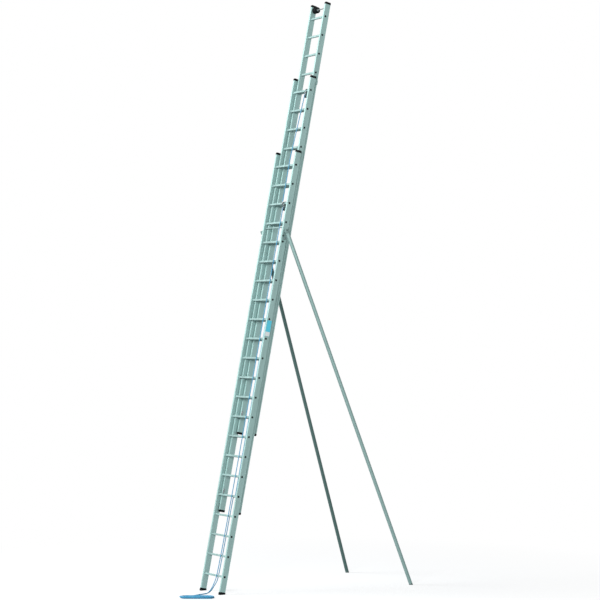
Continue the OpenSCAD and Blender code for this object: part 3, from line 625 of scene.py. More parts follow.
def section_piece(name, tree, material, slot, section, *replaced, side=RIGHT, body=None):
    """A piece drawn in a section's frame, as if on its right; it rides there unless a body is given."""
    return new_piece(name, tree, material, body or SECTION_NAMES[section],
                     section_frame(section) @ mirrored(side), replaced)


# ------------------------------------------------------------------ ropes

# A rope has this many sides and a ring of points this far apart, on a line with so many pieces between
# two route points.
ROPE_SIDES = 12
ROPE_STEP = 0.008
ROUTE_PIECES = 8
# Rungs of the base section, from 0 at the foot, that carry the haul pulley and stand over the tie bar.
HAUL_RUNG = 19
TIE_RUNG = 18
AXLE_DROP = 0.078
SHEAVE_LINE = 0.025
HAUL_X = 0.158
HOIST_X = 0.126
HOIST_END_X = 0.140
RETURN_X = 0.085
CLAMP_HALF = 0.014
SEAT = 0.0002

# The haul rope's front strand in the base section's frame, and its end on the floor from the feet's line.
HAUL_ROUTE = [
    (.158, .011, 5.485), (.158, .011, 5.430), (.157, .011, 5.200), (.155, .011, 4.800), (.152, .011, 4.300),
    (.149, .011, 3.800), (.146, .011, 3.300), (.142, .011, 2.800), (.138, .011, 2.300), (.133, .011, 1.800),
    (.128, .011, 1.400), (.122, .011, 1.000), (.114, .011, .650), (.104, .011, .380), (.094, .009, .220),
]
HAUL_FLOOR_ROUTE = [
    (.088, -.030, .130), (.088, -.062, .075), (.091, -.100, .034), (.098, -.145, .011), (.112, -.205, .007),
    (.132, -.270, .007), (.158, -.330, .007),
]
RETURN_ROUTE = [
    (.085, .066, 1.349), (.085, .064, 1.280), (.084, .062, 1.100), (.083, .061, .950), (.080, .061, .780),
    (.076, .061, .600), (.070, .061, .420), (.065, .060, .280), (.062, .052, .175),
]
RETURN_FLOOR_ROUTE = [
    (.061, -.002, .105), (.063, -.034, .062), (.067, -.072, .028), (.074, -.118, .011), (.087, -.180, .007),
    (.104, -.245, .007), (.126, -.310, .007),
]
# The point on the floor at which the strand to the middle section begins to leave it.
RETURN_MEETING = (.087, -.180, .007)
LIFT_ROUTE = [
    (.125, .011, 5.587), (.125, .011, 5.700), (.125, .011, 5.950), (.125, .011, 6.160), (.125, .016, 6.300),
    (.126, .030, 6.550), (.126, .047, 6.830), (.126, .061, 7.060), (.126, .066, 7.1648),
]
FLOOR_CLEAR = 0.0003
HANK_CENTRE = (.355, -.450)
HANK_TURN = math.radians(57)
# Points in each turn of the hank.
HANK_STEPS = 24
# The strand from the ladder comes in beside the first turn, this many points on.
HANK_JOIN = 4
# Turns lie a little more than a rope apart: the lower ones at HANK_LOW, the upper ones HANK_RISE above.
HANK_PITCH = 0.0139
HANK_LOW = 0.0066
HANK_RISE = 0.01285
# How far turns wander sideways and ride up, and how fast those waves run, in radians to a turn.
HANK_WANDER = 0.0008
HANK_RIDE = 0.004
WANDER_WAVE = 5.3
WANDER_SWAY = 1.9
SWAY_WAVE = 3.1
RIDE_WAVE = 4.1
# Where the strands join the hank and leave it, along it and across it.
HANK_ENTRY = [(-.027, .150, .0075), (-.024, .118, .0068), (-.008, .097, .0066), (.022, .0885, .0066)]
HANK_EXIT = [(-.104, .0890, .0195), (-.082, .0960, .0185), (-.070, .118, .0150), (-.064, .150, .0100)]


def smooth_line(points):
    """A Catmull-Rom line through the points."""
    points = [Vector(p) for p in points]
    line = []
    for i in range(len(points) - 1):
        a, b, c, d = (points[max(0, min(len(points) - 1, k))] for k in (i - 1, i, i + 1, i + 2))
        for piece in range(ROUTE_PIECES):
            t = piece / ROUTE_PIECES
            line.append(0.5 * (2 * b + (c - a) * t + (2 * a - 5 * b + 4 * c - d) * t * t
                               + (3 * b - a - 3 * c + d) * t ** 3))
    return line + [points[-1]]


def even_line(points):
    """The same line with its points evenly spaced."""
    lengths = [0.0]
    for a, b in zip(points, points[1:]):
        lengths.append(lengths[-1] + (b - a).length)
    count = max(2, round(lengths[-1] / ROPE_STEP))
    line, k = [], 0
    for i in range(count + 1):
        at = lengths[-1] * i / count
        while k < len(lengths) - 2 and lengths[k + 1] < at:
            k += 1
        share = (at - lengths[k]) / max(1e-9, lengths[k + 1] - lengths[k])
        line.append(points[k].lerp(points[k + 1], share))
    return line


def add_rope(tree, line, radius):
    """A rope along a line of points, with UVs that count rope diameters along it and turns around it."""
    shares = [k / ROPE_SIDES for k in range(ROPE_SIDES + 1)]
    layer = tree.loops.layers.uv.get("rope") or tree.loops.layers.uv.new("rope")
    start = (line[1] - line[0]).normalized()
    side = start.cross(Vector((1, 0, 0)))
    side = (side if side.length > 0.1 else start.cross(Vector((0, 1, 0)))).normalized()
    rings, distance, run = [], [], 0.0
    for i, point in enumerate(line):
        along = (line[min(len(line) - 1, i + 1)] - line[max(0, i - 1)]).normalized()
        side = (side - along * side.dot(along)).normalized()
        other = along.cross(side)
        run += (point - line[i - 1]).length if i else 0
        distance.append(run / (2 * radius))
        rings.append([tree.verts.new(point + radius * (math.cos(2 * math.pi * share) * side
                                                       + math.sin(2 * math.pi * share) * other))
                      for share in shares[:-1]])
    for i in range(len(rings) - 1):
        for k in range(ROPE_SIDES):
            j = (k + 1) % ROPE_SIDES
            face = tree.faces.new((rings[i][k], rings[i][j], rings[i + 1][j], rings[i + 1][k]))
            marks = ((distance[i], shares[k]), (distance[i], shares[k + 1]),
                     (distance[i + 1], shares[k + 1]), (distance[i + 1], shares[k]))
            for loop, mark in zip(face.loops, marks):
                loop[layer].uv = mark
    tree.faces.new(rings[0][::-1])
    tree.faces.new(rings[-1])


def from_section(points, section=BASE):
    frame = section_frame(section)
    return [frame @ Vector(p) for p in points]


def from_feet(points):
    return [Vector((x, y + FEET_Y, z)) for x, y, z in points]


def from_hank(points):
    cos, sin = math.cos(HANK_TURN), math.sin(HANK_TURN)
    return [Vector((HANK_CENTRE[0] + u * cos - a * sin, HANK_CENTRE[1] + u * sin + a * cos + FEET_Y, z))
            for u, a, z in points]


def hank_turns():
    """Racetrack turns, inwards on the floor and outwards again on top, in the hank's own frame."""
    r = ropes()
    half = r.hank_straight / 2
    points = []
    for layer in (0, 1):
        for step in range(HANK_STEPS * r.hank_turns):
            turns = step / HANK_STEPS
            inwards = turns if layer == 0 else r.hank_turns - turns
            # Hand-laid turns wander between their first and last, and the upper ones ride up in places.
            free = min(1.0, turns, r.hank_turns - turns)
            sway = WANDER_SWAY * math.sin(SWAY_WAVE * turns)
            wander = HANK_WANDER * free * math.sin(WANDER_WAVE * turns + sway)
            ride = HANK_RIDE * free * (0.5 + 0.5 * math.sin(RIDE_WAVE * turns + 1.0))
            radius = r.hank_radius - HANK_PITCH * inwards + wander
            # A turn is a straight run, an end bend, the run back and the other bend.
            quarter, share = divmod(turns % 1 * 4, 1)
            way = 1 if quarter < 2 else -1
            if quarter % 2 == 0:
                u, a = way * half * (2 * share - 1), way * radius
            else:
                angle = way * math.pi / 2 - math.pi * share
                u, a = way * half + radius * math.cos(angle), radius * math.sin(angle)
            points.append((u, a, HANK_LOW + layer * (HANK_RISE + ride)))
    return points


def haul_rope_lines():
    """The loose rope in two runs that meet on the floor: down through the hank, and back up."""
    turns = hank_turns()[HANK_JOIN:]
    line = smooth_line(from_section(HAUL_ROUTE) + from_feet(HAUL_FLOOR_ROUTE) + from_hank(HANK_ENTRY)
                       + from_hank(turns) + from_hank(HANK_EXIT)
                       + from_feet(RETURN_FLOOR_ROUTE)[::-1] + from_section(RETURN_ROUTE)[::-1])
    line = even_line(line)
    for point in line:
        point.z = max(point.z, ropes().diameter / 2 + FLOOR_CLEAR)
    meeting = from_feet([RETURN_MEETING])[0]
    split = min(range(len(line)), key=lambda i: (line[i] - meeting).length)
    return line[:split + 1], line[split:][::-1]


def sheave_wrap(centre):
    """Half a turn over a sheave from its front to its rear, in the section's frame."""
    x, y, z = centre
    return [(x, y - v, z + w) for v, w in arc(SHEAVE_LINE, 0, 180, 20)]


def rope_piece(name, line, body, *replaced):
    """A rope along a line of points, on one body, or fixed where it is drawn when given two sections."""
    tree = bmesh.new()
    add_rope(tree, line, ropes().diameter / 2)
    return new_piece(name, tree, "rope", body, replaced=replaced, smooth=60)


class LADDER_OT_haul_rope(bpy.types.Operator):
    """Loose haul rope with its hank on the floor"""

    bl_idname = "ladder.haul_rope"
    bl_label = "Haul rope"

    def execute(self, context):
        loose, rising = haul_rope_lines()
        rope_piece("haul_rope_braided", loose, "base", "haul_rope", "rope_pile")
        # The rising strand runs from its clamp to where it nears the floor and stays where it is drawn.
        near_floor = from_feet([RETURN_FLOOR_ROUTE[2]])[0]
        rope_piece("return_rope_braided", rising, ("middle", "base", rising[0], near_floor),
                                "return_rope")
        return {"FINISHED"}


class LADDER_OT_held_ropes(bpy.types.Operator):
    """Rope strands between the sheaves, the anchor and the clamps"""

    bl_idname = "ladder.held_ropes"
    bl_label = "Hoist and lift ropes"

    def execute(self, context):
        s = sizes()
        rear = s.rung_depth + SHEAVE_LINE
        haul_axle = (HAUL_X, s.rung_depth, rung_height(HAUL_RUNG) - AXLE_DROP)
        hoist_axle = (HOIST_X, s.rung_depth, rung_height(s.rung_count - 1) - AXLE_DROP)
        clamp_z = s.section_step + rung_height(0) + CLAMP_HALF + SEAT
        hoist = from_section(sheave_wrap(haul_axle) + [(HOIST_END_X, rear, clamp_z)])
        lift = from_section(LIFT_ROUTE)
        lift_rear = from_section(sheave_wrap(hoist_axle) + [(HOIST_X, rear, clamp_z)], MIDDLE)
        rope_piece("hoist_rope_braided", even_line(hoist), ("base", "middle", hoist[-2], hoist[-1]),
                   "hoist_rope")
        rope_piece("lift_rope_braided", even_line(smooth_line(lift)), ("base", "middle", lift[0], lift[-1]),
                   "lift_rope")
        rope_piece("lift_rope_rear_braided", even_line(lift_rear),
                   ("middle", "top", lift_rear[-2], lift_rear[-1]), "lift_rope_rear")
        return {"FINISHED"}


# ------------------------------------------------------------------ stiles and rungs

STILE_WALL = 0.0022
STILE_CORNER = 0.003
GROOVE_HALF = 0.0012
GROOVE_DEPTH = 0.0006
# Depths of the two grooves in a stile's broad sides.
GROOVES = (0.009, 0.081)
RUNG_CORNER = 0.005
RUNG_RIBS = (-0.0066, -0.0022, 0.0022, 0.0066)
RIB_HALF = 0.0008
RIB_DEPTH = 0.0007
FOOT_SOLE = 0.014
CAP_END = 0.012


def side_grooves(x, into, depths, half, depth):
    """Points of the grooves in a straight side at x, in the direction in which depths run."""
    way = 1 if depths[0] < depths[-1] else -1
    return [point for y in depths for point in (
        (x, y - way * (half + depth)), (x + into * depth, y - way * half),
        (x + into * depth, y + way * half), (x, y + way * (half + depth)))]


def stile_outline(inset=0.0, depth=GROOVE_DEPTH):
    """Section of a stile: rounded corners and two grooves in each broad side."""
    s = sizes()
    x0, x1 = inset, s.stile_width - inset
    corners = rounded_rectangle(x0, inset, x1, s.stile_depth - inset, max(0.0008, STILE_CORNER - inset))
    return (corners[:10] + side_grooves(x0, 1, GROOVES[::-1], GROOVE_HALF, depth)
            + corners[10:] + side_grooves(x1, -1, GROOVES, GROOVE_HALF, depth))


def rung_outline():
    """Section of a rung: a rounded square with four anti-slip grooves in each side."""
    half = sizes().rung_size / 2
    points = []
    for quarter in range(4):
        side = side_grooves(half, -1, RUNG_RIBS, RIB_HALF, RIB_DEPTH)
        side += arc(RUNG_CORNER, 0, 80, 4, half - RUNG_CORNER, half - RUNG_CORNER)
        turn = Matrix.Rotation(quarter * math.pi / 2, 2)
        points += [tuple(turn @ Vector(point)) for point in side]
    return points


class LADDER_OT_stiles(bpy.types.Operator):
    """Six extruded box stiles, two to a section"""

    bl_idname = "ladder.stiles"
    bl_label = "Stiles"

    def execute(self, context):
        for section, name in enumerate(SECTION_NAMES):
            low = FOOT_SOLE if section == BASE else CAP_END
            for side_name, side in SIDES.items():
                tree = bmesh.new()
                outer, inner = stile_outline(), stile_outline(STILE_WALL, 0.0)
                add_loft(tree, [at_height(outer, low), at_height(outer, section_length()),
                                at_height(inner, section_length()), at_height(inner, low)],
                         moved(x=inner_x(section)), closed=True)
                node = f"{name}_stile_{side_name}"
                section_piece(f"{node}_extrusion", tree, "stile", "stile_aluminium", section, node,
                              side=side)
        return {"FINISHED"}


class LADDER_OT_rungs(bpy.types.Operator):
    """Ribbed rungs with the beads that lock them in the stiles"""

    bl_idname = "ladder.rungs"
    bl_label = "Rungs"

    def execute(self, context):
        outline = rung_outline()
        for section, name in enumerate(SECTION_NAMES):
            tree, beads = bmesh.new(), bmesh.new()
            half = outer_x(section) - STILE_WALL - SEAT
            for number in range(sizes().rung_count):
                place = moved(0, sizes().rung_depth, rung_height(number))
                add_loft(tree, [at_height(outline, -half), at_height(outline, half)], place @ ACROSS)
                for side in (LEFT, RIGHT):
                    add_rung_bead(beads, place @ mirrored(side) @ moved(x=inner_x(section)))
            section_piece(f"{name}_rungs_ribbed", tree, "rung", "rung_aluminium", section, f"{name}_rungs")
            section_piece(f"{name}_rung_beads", beads, "rung", "rung_aluminium", section)
        return {"FINISHED"}


# A bead's section, as its reach out of the rung and its depth on the stile's wall.
BEAD = ((0.0005, 0), (0.0045, 0), (0.0045, -0.0012), (0.0032, -0.0026), (0.0005, -0.0032))


def add_rung_bead(tree, matrix):
    """Rolled bead round a rung against the stile's inner wall, at x = 0."""
    half = sizes().rung_size / 2
    add_loft(tree, [at_height(rounded_square(half + reach, RUNG_CORNER + reach), x) for reach, x in BEAD],
             matrix @ ACROSS)


PLUG_RADIUS = 0.015
PLUG_STEM_R = 0.008
PLUG_HEAD = 0.0022
PLUG_STEM = 0.006


class LADDER_OT_rung_plugs(bpy.types.Operator):
    """Black plugs that close the rungs' ends on the outside of the stiles"""

    bl_idname = "ladder.rung_plugs"
    bl_label = "Rung plugs"

    def execute(self, context):
        r, h = PLUG_RADIUS, PLUG_HEAD
        profile = [(PLUG_STEM_R, -PLUG_STEM), (PLUG_STEM_R, 0), (r, 0), (r, h * 0.45),
                   (r - 0.0006, h * 0.85), (r - 0.0018, h), (r * 0.55, h), (r * 0.48, h * 0.6), (0, h * 0.6)]
        for section, name in enumerate(SECTION_NAMES):
            tree = bmesh.new()
            for number in range(sizes().rung_count):
                for side in (LEFT, RIGHT):
                    place = moved(0, sizes().rung_depth, rung_height(number)) @ mirrored(side)
                    add_lathe(tree, profile, place @ moved(x=outer_x(section)) @ ACROSS, 20)
            node = f"{name}_rung_plugs"
            section_piece(f"{node}_moulded", tree, "nylon", "black_plastic", section, node)
        return {"FINISHED"}


# ------------------------------------------------------------------ end pieces

CAP_WALL = 0.002
CAP_SKIRT = 0.020
CAP_EDGE = 0.0012
CAP_CORNER = 0.0042
# Grip grooves round a cap's skirt: their heights, their depth and half their width at the mouth.
CAP_GROOVES = (-0.014, -0.009)
CAP_GROOVE_DEPTH = 0.0008
CAP_GROOVE_HALF = 0.0014


def cup_outline(inset, shoulder):
    """Outline of an end cup, inset from its outside, and by shoulder more at its front and back."""
    s = sizes()
    low = inset - CAP_WALL
    return rounded_rectangle(low, low + shoulder, s.stile_width - low, s.stile_depth - low - shoulder,
                             CAP_CORNER - min(inset, STILE_CORNER))


def add_cup(tree, matrix):
    """Cup over a stile's end, its open side down, with grip grooves round the skirt and a rounded crown."""
    wall = CAP_WALL - SEAT / 2
    # Each step is an inset from the outside, a further one at the front and back, and a height.
    steps = [(wall, 0, 0), (wall, 0, 0.0005 - CAP_SKIRT), (wall - 0.0006, 0, -CAP_SKIRT),
             (0.0006, 0, -CAP_SKIRT), (0, 0, 0.0008 - CAP_SKIRT)]
    for groove in CAP_GROOVES:
        steps += [(inset, 0, groove + rise * CAP_GROOVE_HALF)
                  for inset, rise in ((0, -1), (CAP_GROOVE_DEPTH, -0.5), (CAP_GROOVE_DEPTH, 0.5), (0, 1))]
    for turn in range(0, 91, 10):
        rise = math.sin(math.radians(turn))
        run = 1 - math.cos(math.radians(turn))
        edge = CAP_EDGE * (0.0 if turn < 80 else 0.35 if turn < 90 else 1.0)
        steps.append((edge, CAP_END * run, CAP_END * rise))
    add_loft(tree, [at_height(cup_outline(inset, shoulder), z) for inset, shoulder, z in steps], matrix)


class LADDER_OT_caps(bpy.types.Operator):
    """Black end caps on the stiles"""

    bl_idname = "ladder.caps"
    bl_label = "End caps"

    def execute(self, context):
        for section, name in enumerate(SECTION_NAMES):
            tree = bmesh.new()
            for side in (LEFT, RIGHT):
                stile = mirrored(side) @ moved(x=inner_x(section))
                add_cup(tree, stile @ moved(z=section_length()))
                if section != BASE:
                    add_cup(tree, stile @ moved(z=CAP_END) @ Matrix.Scale(-1, 4, (0, 0, 1)))
            section_piece(f"{name}_caps_moulded", tree, "nylon", "black_plastic", section, f"{name}_caps")
        return {"FINISHED"}


def floor_height(frame, x, y, height):
    """The z in a frame at which the point over (x, y) is that high above the floor."""
    row = frame[2]
    return (height - row[0] * x - row[1] * y - row[3]) / row[2]


FOOT_ROUND = 0.010
HEEL_GROW = 0.003
FOOT_RIVETS = (0.0215, 0.0285)
FOOT_RIVET_Y = 0.070


def boot_profile(frame):
    """Side view of a boot in the section's frame: a toe and heel rounded on the floor, and the skirt."""
    s = sizes()
    toe_y = -(s.stile_depth / 2 + CAP_WALL) / math.sin(LEAN) + FOOT_ROUND
    heel_y = HEEL_GROW - toe_y
    into = frame.inverted()

    def round_end(y, first, last):
        points = [into @ Vector((0, a + FEET_Y, b))
                  for a, b in arc(FOOT_ROUND, first, last, 9, y, FOOT_ROUND)]
        return [(point.y, point.z) for point in points]

    low, high = FOOT_SOLE + HEEL_GROW, FOOT_SOLE + CAP_SKIRT
    front, back = -CAP_WALL, s.stile_depth + CAP_WALL
    return (round_end(toe_y, 165, 270) + round_end(heel_y, 270, 375)
            + [(back, low), (back, high), (front, high), (front, low)])


class LADDER_OT_base_feet(bpy.types.Operator):
    """Rubber boots under the base section, flat on the floor"""

    bl_idname = "ladder.base_feet"
    bl_label = "Base feet"

    def execute(self, context):
        inside, outside = inner_x(BASE) - CAP_WALL, outer_x(BASE) + CAP_WALL
        outline = boot_profile(section_frame(BASE))
        for side_name, side in SIDES.items():
            tree = bmesh.new()
            add_plate(tree, outline, outside - inside, moved(x=inside) @ ACROSS, bevel=0.0012)
            for z in FOOT_RIVETS:
                add_rivet(tree, moved(outside, FOOT_RIVET_Y, z) @ ACROSS, 0.0026, 0.0010)
            node = f"base_foot_{side_name}"
            section_piece(f"{node}_boot", tree, "rubber", "black_rubber", BASE, node, side=side)
        return {"FINISHED"}


# ------------------------------------------------------------------ guides

GUIDE_FRONT = 0.003
GUIDE_LIP_T = 0.005
GUIDE_LIP = 0.014
SLIDE_FIT = 0.0005
LOWER_GUIDE_Z = 0.034
LOWER_GUIDE_LENGTH = 0.080
LOWER_GUIDE_RIVETS = (0.018, 0.062)
UPPER_GUIDE_DROP = 0.090
UPPER_GUIDE_LENGTH = 0.060
UPPER_GUIDE_BOLTS = (0.015, 0.045)
UPPER_GUIDE_T = 0.004
UPPER_GUIDE_GAP = 0.003
UPPER_GUIDE_LIP = 0.0055
BEND_R = 0.004


class LADDER_OT_lower_guides(bpy.types.Operator):
    """Nylon slide blocks at the feet of the sliding sections"""

    bl_idname = "ladder.lower_guides"
    bl_label = "Slide blocks"

    def execute(self, context):
        s = sizes()
        back = s.stile_depth - s.section_pitch + SLIDE_FIT
        for section in (MIDDLE, TOP):
            x0 = outer_x(section)
            x1 = x0 + s.side_gap - SLIDE_FIT
            lip_x, lip_back = x0 + s.side_gap + GUIDE_LIP, back + GUIDE_LIP_T
            outline = [(x0, GUIDE_FRONT), (x1, GUIDE_FRONT), (x1, back), (lip_x, back), (lip_x, lip_back),
                       (x0, lip_back)]
            tree = bmesh.new()
            for side in (LEFT, RIGHT):
                block = mirrored(side) @ moved(z=LOWER_GUIDE_Z)
                add_plate(tree, outline, LOWER_GUIDE_LENGTH, block, bevel=0.0015)
                for z in LOWER_GUIDE_RIVETS:
                    add_rivet(tree, block @ moved(x0 + 0.005, lip_back, z) @ BACKWARDS, 0.0035, 0.0016)
            node = f"{SECTION_NAMES[section]}_guides"
            section_piece(f"{node}_moulded", tree, "nylon", "black_plastic", section, node)
        return {"FINISHED"}


class LADDER_OT_upper_guides(bpy.types.Operator):
    """Bent plates at the heads of the base and middle sections"""

    bl_idname = "ladder.upper_guides"
    bl_label = "Guide plates"

    def execute(self, context):
        s = sizes()
        for section, node in ((BASE, "base_guides"), (MIDDLE, "middle_upper_guides")):
            x_next, t = outer_x(section + 1), UPPER_GUIDE_T
            leg = x_next + UPPER_GUIDE_GAP
            back = s.section_pitch + s.stile_depth + 0.001
            outline = [(outer_x(section), s.stile_depth), (outer_x(section), s.stile_depth + t)]
            outline += [(leg + t + 0.002, s.stile_depth + t), (leg + t, s.stile_depth + t + 0.002)]
            outline += arc(BEND_R, 0, 90, 4, leg + t - BEND_R, back + t - BEND_R)
            outline += [(x_next - UPPER_GUIDE_LIP, back + t), (x_next - UPPER_GUIDE_LIP, back), (leg, back)]
            outline += arc(BEND_R, 180, 270, 4, leg + BEND_R, s.stile_depth + BEND_R)
            middle_x = inner_x(section) + s.stile_width / 2
            tree = bmesh.new()
            for side in (LEFT, RIGHT):
                plate = mirrored(side) @ moved(z=section_length() - UPPER_GUIDE_DROP)
                add_plate(tree, outline, UPPER_GUIDE_LENGTH, plate, bevel=0.0006)
                for z in UPPER_GUIDE_BOLTS:
                    rear = plate @ moved(middle_x, s.stile_depth + t, z)
                    add_bolt_head(tree, rear @ BACKWARDS, 0.010, 0.0075)
            section_piece(f"{node}_pressed", tree, "stile", "stile_aluminium", section, node)
        return {"FINISHED"}


# ------------------------------------------------------------------ catches

CATCH_GAP = 0.0035
CATCH_T = 0.008
CATCH_RISE = 0.075
CATCH_PIN_Y = 0.012
CATCH_PIN_R = 0.006
CATCH_EYE_R = 0.014
CATCH_FRONT = 0.014
CATCH_BACK = 0.007
RUN_FIT = 0.00005
CATCH_SEAT = 0.00027


def catch_reach():
    """From the catch's pin to its rounded end, which stands over a rung's upper rear corner."""
    s = sizes()
    corner_y = s.rung_depth - s.section_pitch + s.rung_size / 2 - RUNG_CORNER - CATCH_PIN_Y
    corner_z = s.rung_size / 2 - RUNG_CORNER - CATCH_RISE
    return math.hypot(corner_y, corner_z) - RUNG_CORNER - CATCH_SEAT


class LADDER_OT_catches(bpy.types.Operator):
    """Swinging catches that stand on the rungs of the section before"""

    bl_idname = "ladder.catches"
    bl_label = "Rung catches"

    def execute(self, context):
        reach = catch_reach()
        back_turn = math.degrees(math.asin(CATCH_BACK / reach))
        front_turn = math.degrees(math.asin(CATCH_FRONT / reach))
        eye_turn = math.degrees(math.acos(CATCH_BACK / CATCH_EYE_R))
        outline = arc(CATCH_EYE_R, -eye_turn, 180, 24) + arc(reach, 270 - front_turn, 270 + back_turn, 8)
        for section in (MIDDLE, TOP):
            place = moved(inner_x(section) - CATCH_GAP - CATCH_T, CATCH_PIN_Y, rung_height(0) + CATCH_RISE)
            for side_name, side in SIDES.items():
                tree = bmesh.new()
                add_plate(tree, outline, CATCH_T, place @ ACROSS, [circle(CATCH_PIN_R + RUN_FIT)], 0.0009)
                node = f"{SECTION_NAMES[section]}_catch_{side_name}"
                section_piece(f"{node}_plate", tree, "zinc", "zinc_steel", section, node, side=side,
                              body=node)
        return {"FINISHED"}


class LADDER_OT_catch_pins(bpy.types.Operator):
    """Riveted pins on which the catches swing"""

    bl_idname = "ladder.catch_pins"
    bl_label = "Catch pins"

    def execute(self, context):
        r, head, collar = CATCH_PIN_R, CATCH_PIN_R + 0.004, CATCH_PIN_R + 0.003
        profile = [(0, -0.0152), (0.005, -0.0150), (0.0085, -0.0142), (head, -0.0130), (head, -0.0120),
                   (r, -0.0120), (r, -0.0030), (collar, -0.0030), (collar, -0.0002), (r, -0.0002),
                   (r, 0.0080), (0, 0.0080)]
        for section in (MIDDLE, TOP):
            tree = bmesh.new()
            place = moved(inner_x(section), CATCH_PIN_Y, rung_height(0) + CATCH_RISE)
            for side in (LEFT, RIGHT):
                add_lathe(tree, profile, mirrored(side) @ place @ ACROSS, 32)
            node = f"{SECTION_NAMES[section]}_catch_pins"
            section_piece(f"{node}_riveted", tree, "zinc", "zinc_steel", section, node)
        return {"FINISHED"}


# ------------------------------------------------------------------ pulleys

HANGER_T = 0.004
HANGER_IN = 0.010
HANGER_RIM = 0.006
HANGER_CORNER = 0.008
HANGER_RISE = 0.016
HANGER_BOLT_R = 0.003
HANGER_BOLT_Z = 0.019
SHEAVE_AXLE_R = 0.005
SHEAVE_HALF = 0.009
SHEAVE_RIM = 0.028
SHEAVE_GROOVE = 0.0063
SHEAVE_DISH = 0.0018
# Radius of the ring of rivets in a sheave's dished sides.
SHEAVE_RIVETS = 0.0149


def pulleys():
    """(name, section, body, matrix of the rung's centre) of each pulley."""
    s = sizes()
    return (("haul", BASE, "haul_sheave", moved(HAUL_X, s.rung_depth, rung_height(HAUL_RUNG))),
            ("hoist", MIDDLE, "hoist_sheave", moved(HOIST_X, s.rung_depth, rung_height(s.rung_count - 1))))


class LADDER_OT_hangers(bpy.types.Operator):
    """Plates on a rung that carry a pulley below it"""

    bl_idname = "ladder.hangers"
    bl_label = "Pulley hangers"

    def execute(self, context):
        half = sizes().rung_size / 2 + HANGER_RIM
        outline = arc(half, 180, 360, 20, 0, -AXLE_DROP)
        outline += arc(HANGER_CORNER, 0, 90, 4, half - HANGER_CORNER, HANGER_RISE)
        outline += arc(HANGER_CORNER, 90, 180, 4, HANGER_CORNER - half, HANGER_RISE)
        holes = [rounded_square(sizes().rung_size / 2 + SEAT, RUNG_CORNER),
                 circle(SHEAVE_AXLE_R + SEAT, 24, 0, -AXLE_DROP)]
        out = HANGER_IN + HANGER_T
        for name, section, _, place in pulleys():
            tree = bmesh.new()
            for x in (-out, HANGER_IN):
                add_plate(tree, outline, HANGER_T, place @ moved(x=x) @ ACROSS, holes, 0.0006)
            # The bolt that keeps the plates together stands out of them by its own radius.
            reach = out + HANGER_BOLT_R
            bolt = place @ moved(-reach, 0, HANGER_BOLT_Z)
            add_bar(tree, HANGER_BOLT_R, 2 * reach, bolt @ ACROSS, steps=16)
            for side in (LEFT, RIGHT):
                nut = place @ mirrored(side) @ moved(out, 0, HANGER_BOLT_Z)
                add_hexagon(tree, 0.010, 0.0025, nut @ ACROSS)
            section_piece(f"{name}_hanger_pressed", tree, "zinc", "zinc_steel", section, f"{name}_hanger")
        return {"FINISHED"}


class LADDER_OT_axles(bpy.types.Operator):
    """Bolts on which the sheaves turn"""

    bl_idname = "ladder.axles"
    bl_label = "Pulley axles"

    def execute(self, context):
        reach = HANGER_IN + HANGER_T + SEAT
        for name, section, _, place in pulleys():
            tree = bmesh.new()
            axle = place @ moved(z=-AXLE_DROP)
            add_bar(tree, SHEAVE_AXLE_R, 2 * reach, axle @ moved(x=-reach) @ ACROSS)
            for side in (LEFT, RIGHT):
                add_bolt_head(tree, axle @ mirrored(side) @ moved(x=reach) @ ACROSS, 0.0145, 0.0085)
            section_piece(f"{name}_axle_bolt", tree, "zinc", "zinc_steel", section, f"{name}_axle")
        return {"FINISHED"}


class LADDER_OT_sheaves(bpy.types.Operator):
    """Grooved nylon sheaves"""

    bl_idname = "ladder.sheaves"
    bl_label = "Sheaves"

    def execute(self, context):
        half, rim, groove = SHEAVE_HALF, SHEAVE_RIM, SHEAVE_GROOVE
        web = half - SHEAVE_DISH
        face = [(SHEAVE_AXLE_R + RUN_FIT, half), (0.0115, half), (0.0125, web), (0.0172, web),
                (0.0188, half), (rim - 0.0006, half), (rim, half - 0.0006), (rim, groove)]
        profile = face + arc(groove, 90, 270, 14, SHEAVE_LINE, 0) + [(r, -z) for r, z in reversed(face)]
        for name, section, body, place in pulleys():
            tree = bmesh.new()
            centre = place @ moved(z=-AXLE_DROP)
            add_lathe(tree, profile, centre @ ACROSS, 48, closed=True)
            for side in (LEFT, RIGHT):
                for x, y in circle(SHEAVE_RIVETS, 6):
                    add_rivet(tree, centre @ mirrored(side) @ moved(web, x, y) @ ACROSS, 0.0016, 0.0009)
            section_piece(f"{name}_sheave_turned", tree, "nylon", "black_plastic", section,
                          f"{name}_sheave", body=body)
        return {"FINISHED"}


# ------------------------------------------------------------------ rope clamps and anchor

CLAMP_FRONT = 0.023
CLAMP_STRAP = 0.003
CLAMP_STRAP_W = 0.010
# How far a clamp's straps stand in from its ends.
CLAMP_INSET = 0.002
# Each clamp's section and its ends, a little outside the ropes that it holds.
CLAMPS = ((MIDDLE, RETURN_X - 0.012, HOIST_END_X + 0.012), (TOP, HOIST_X - 0.018, HOIST_X + 0.018))


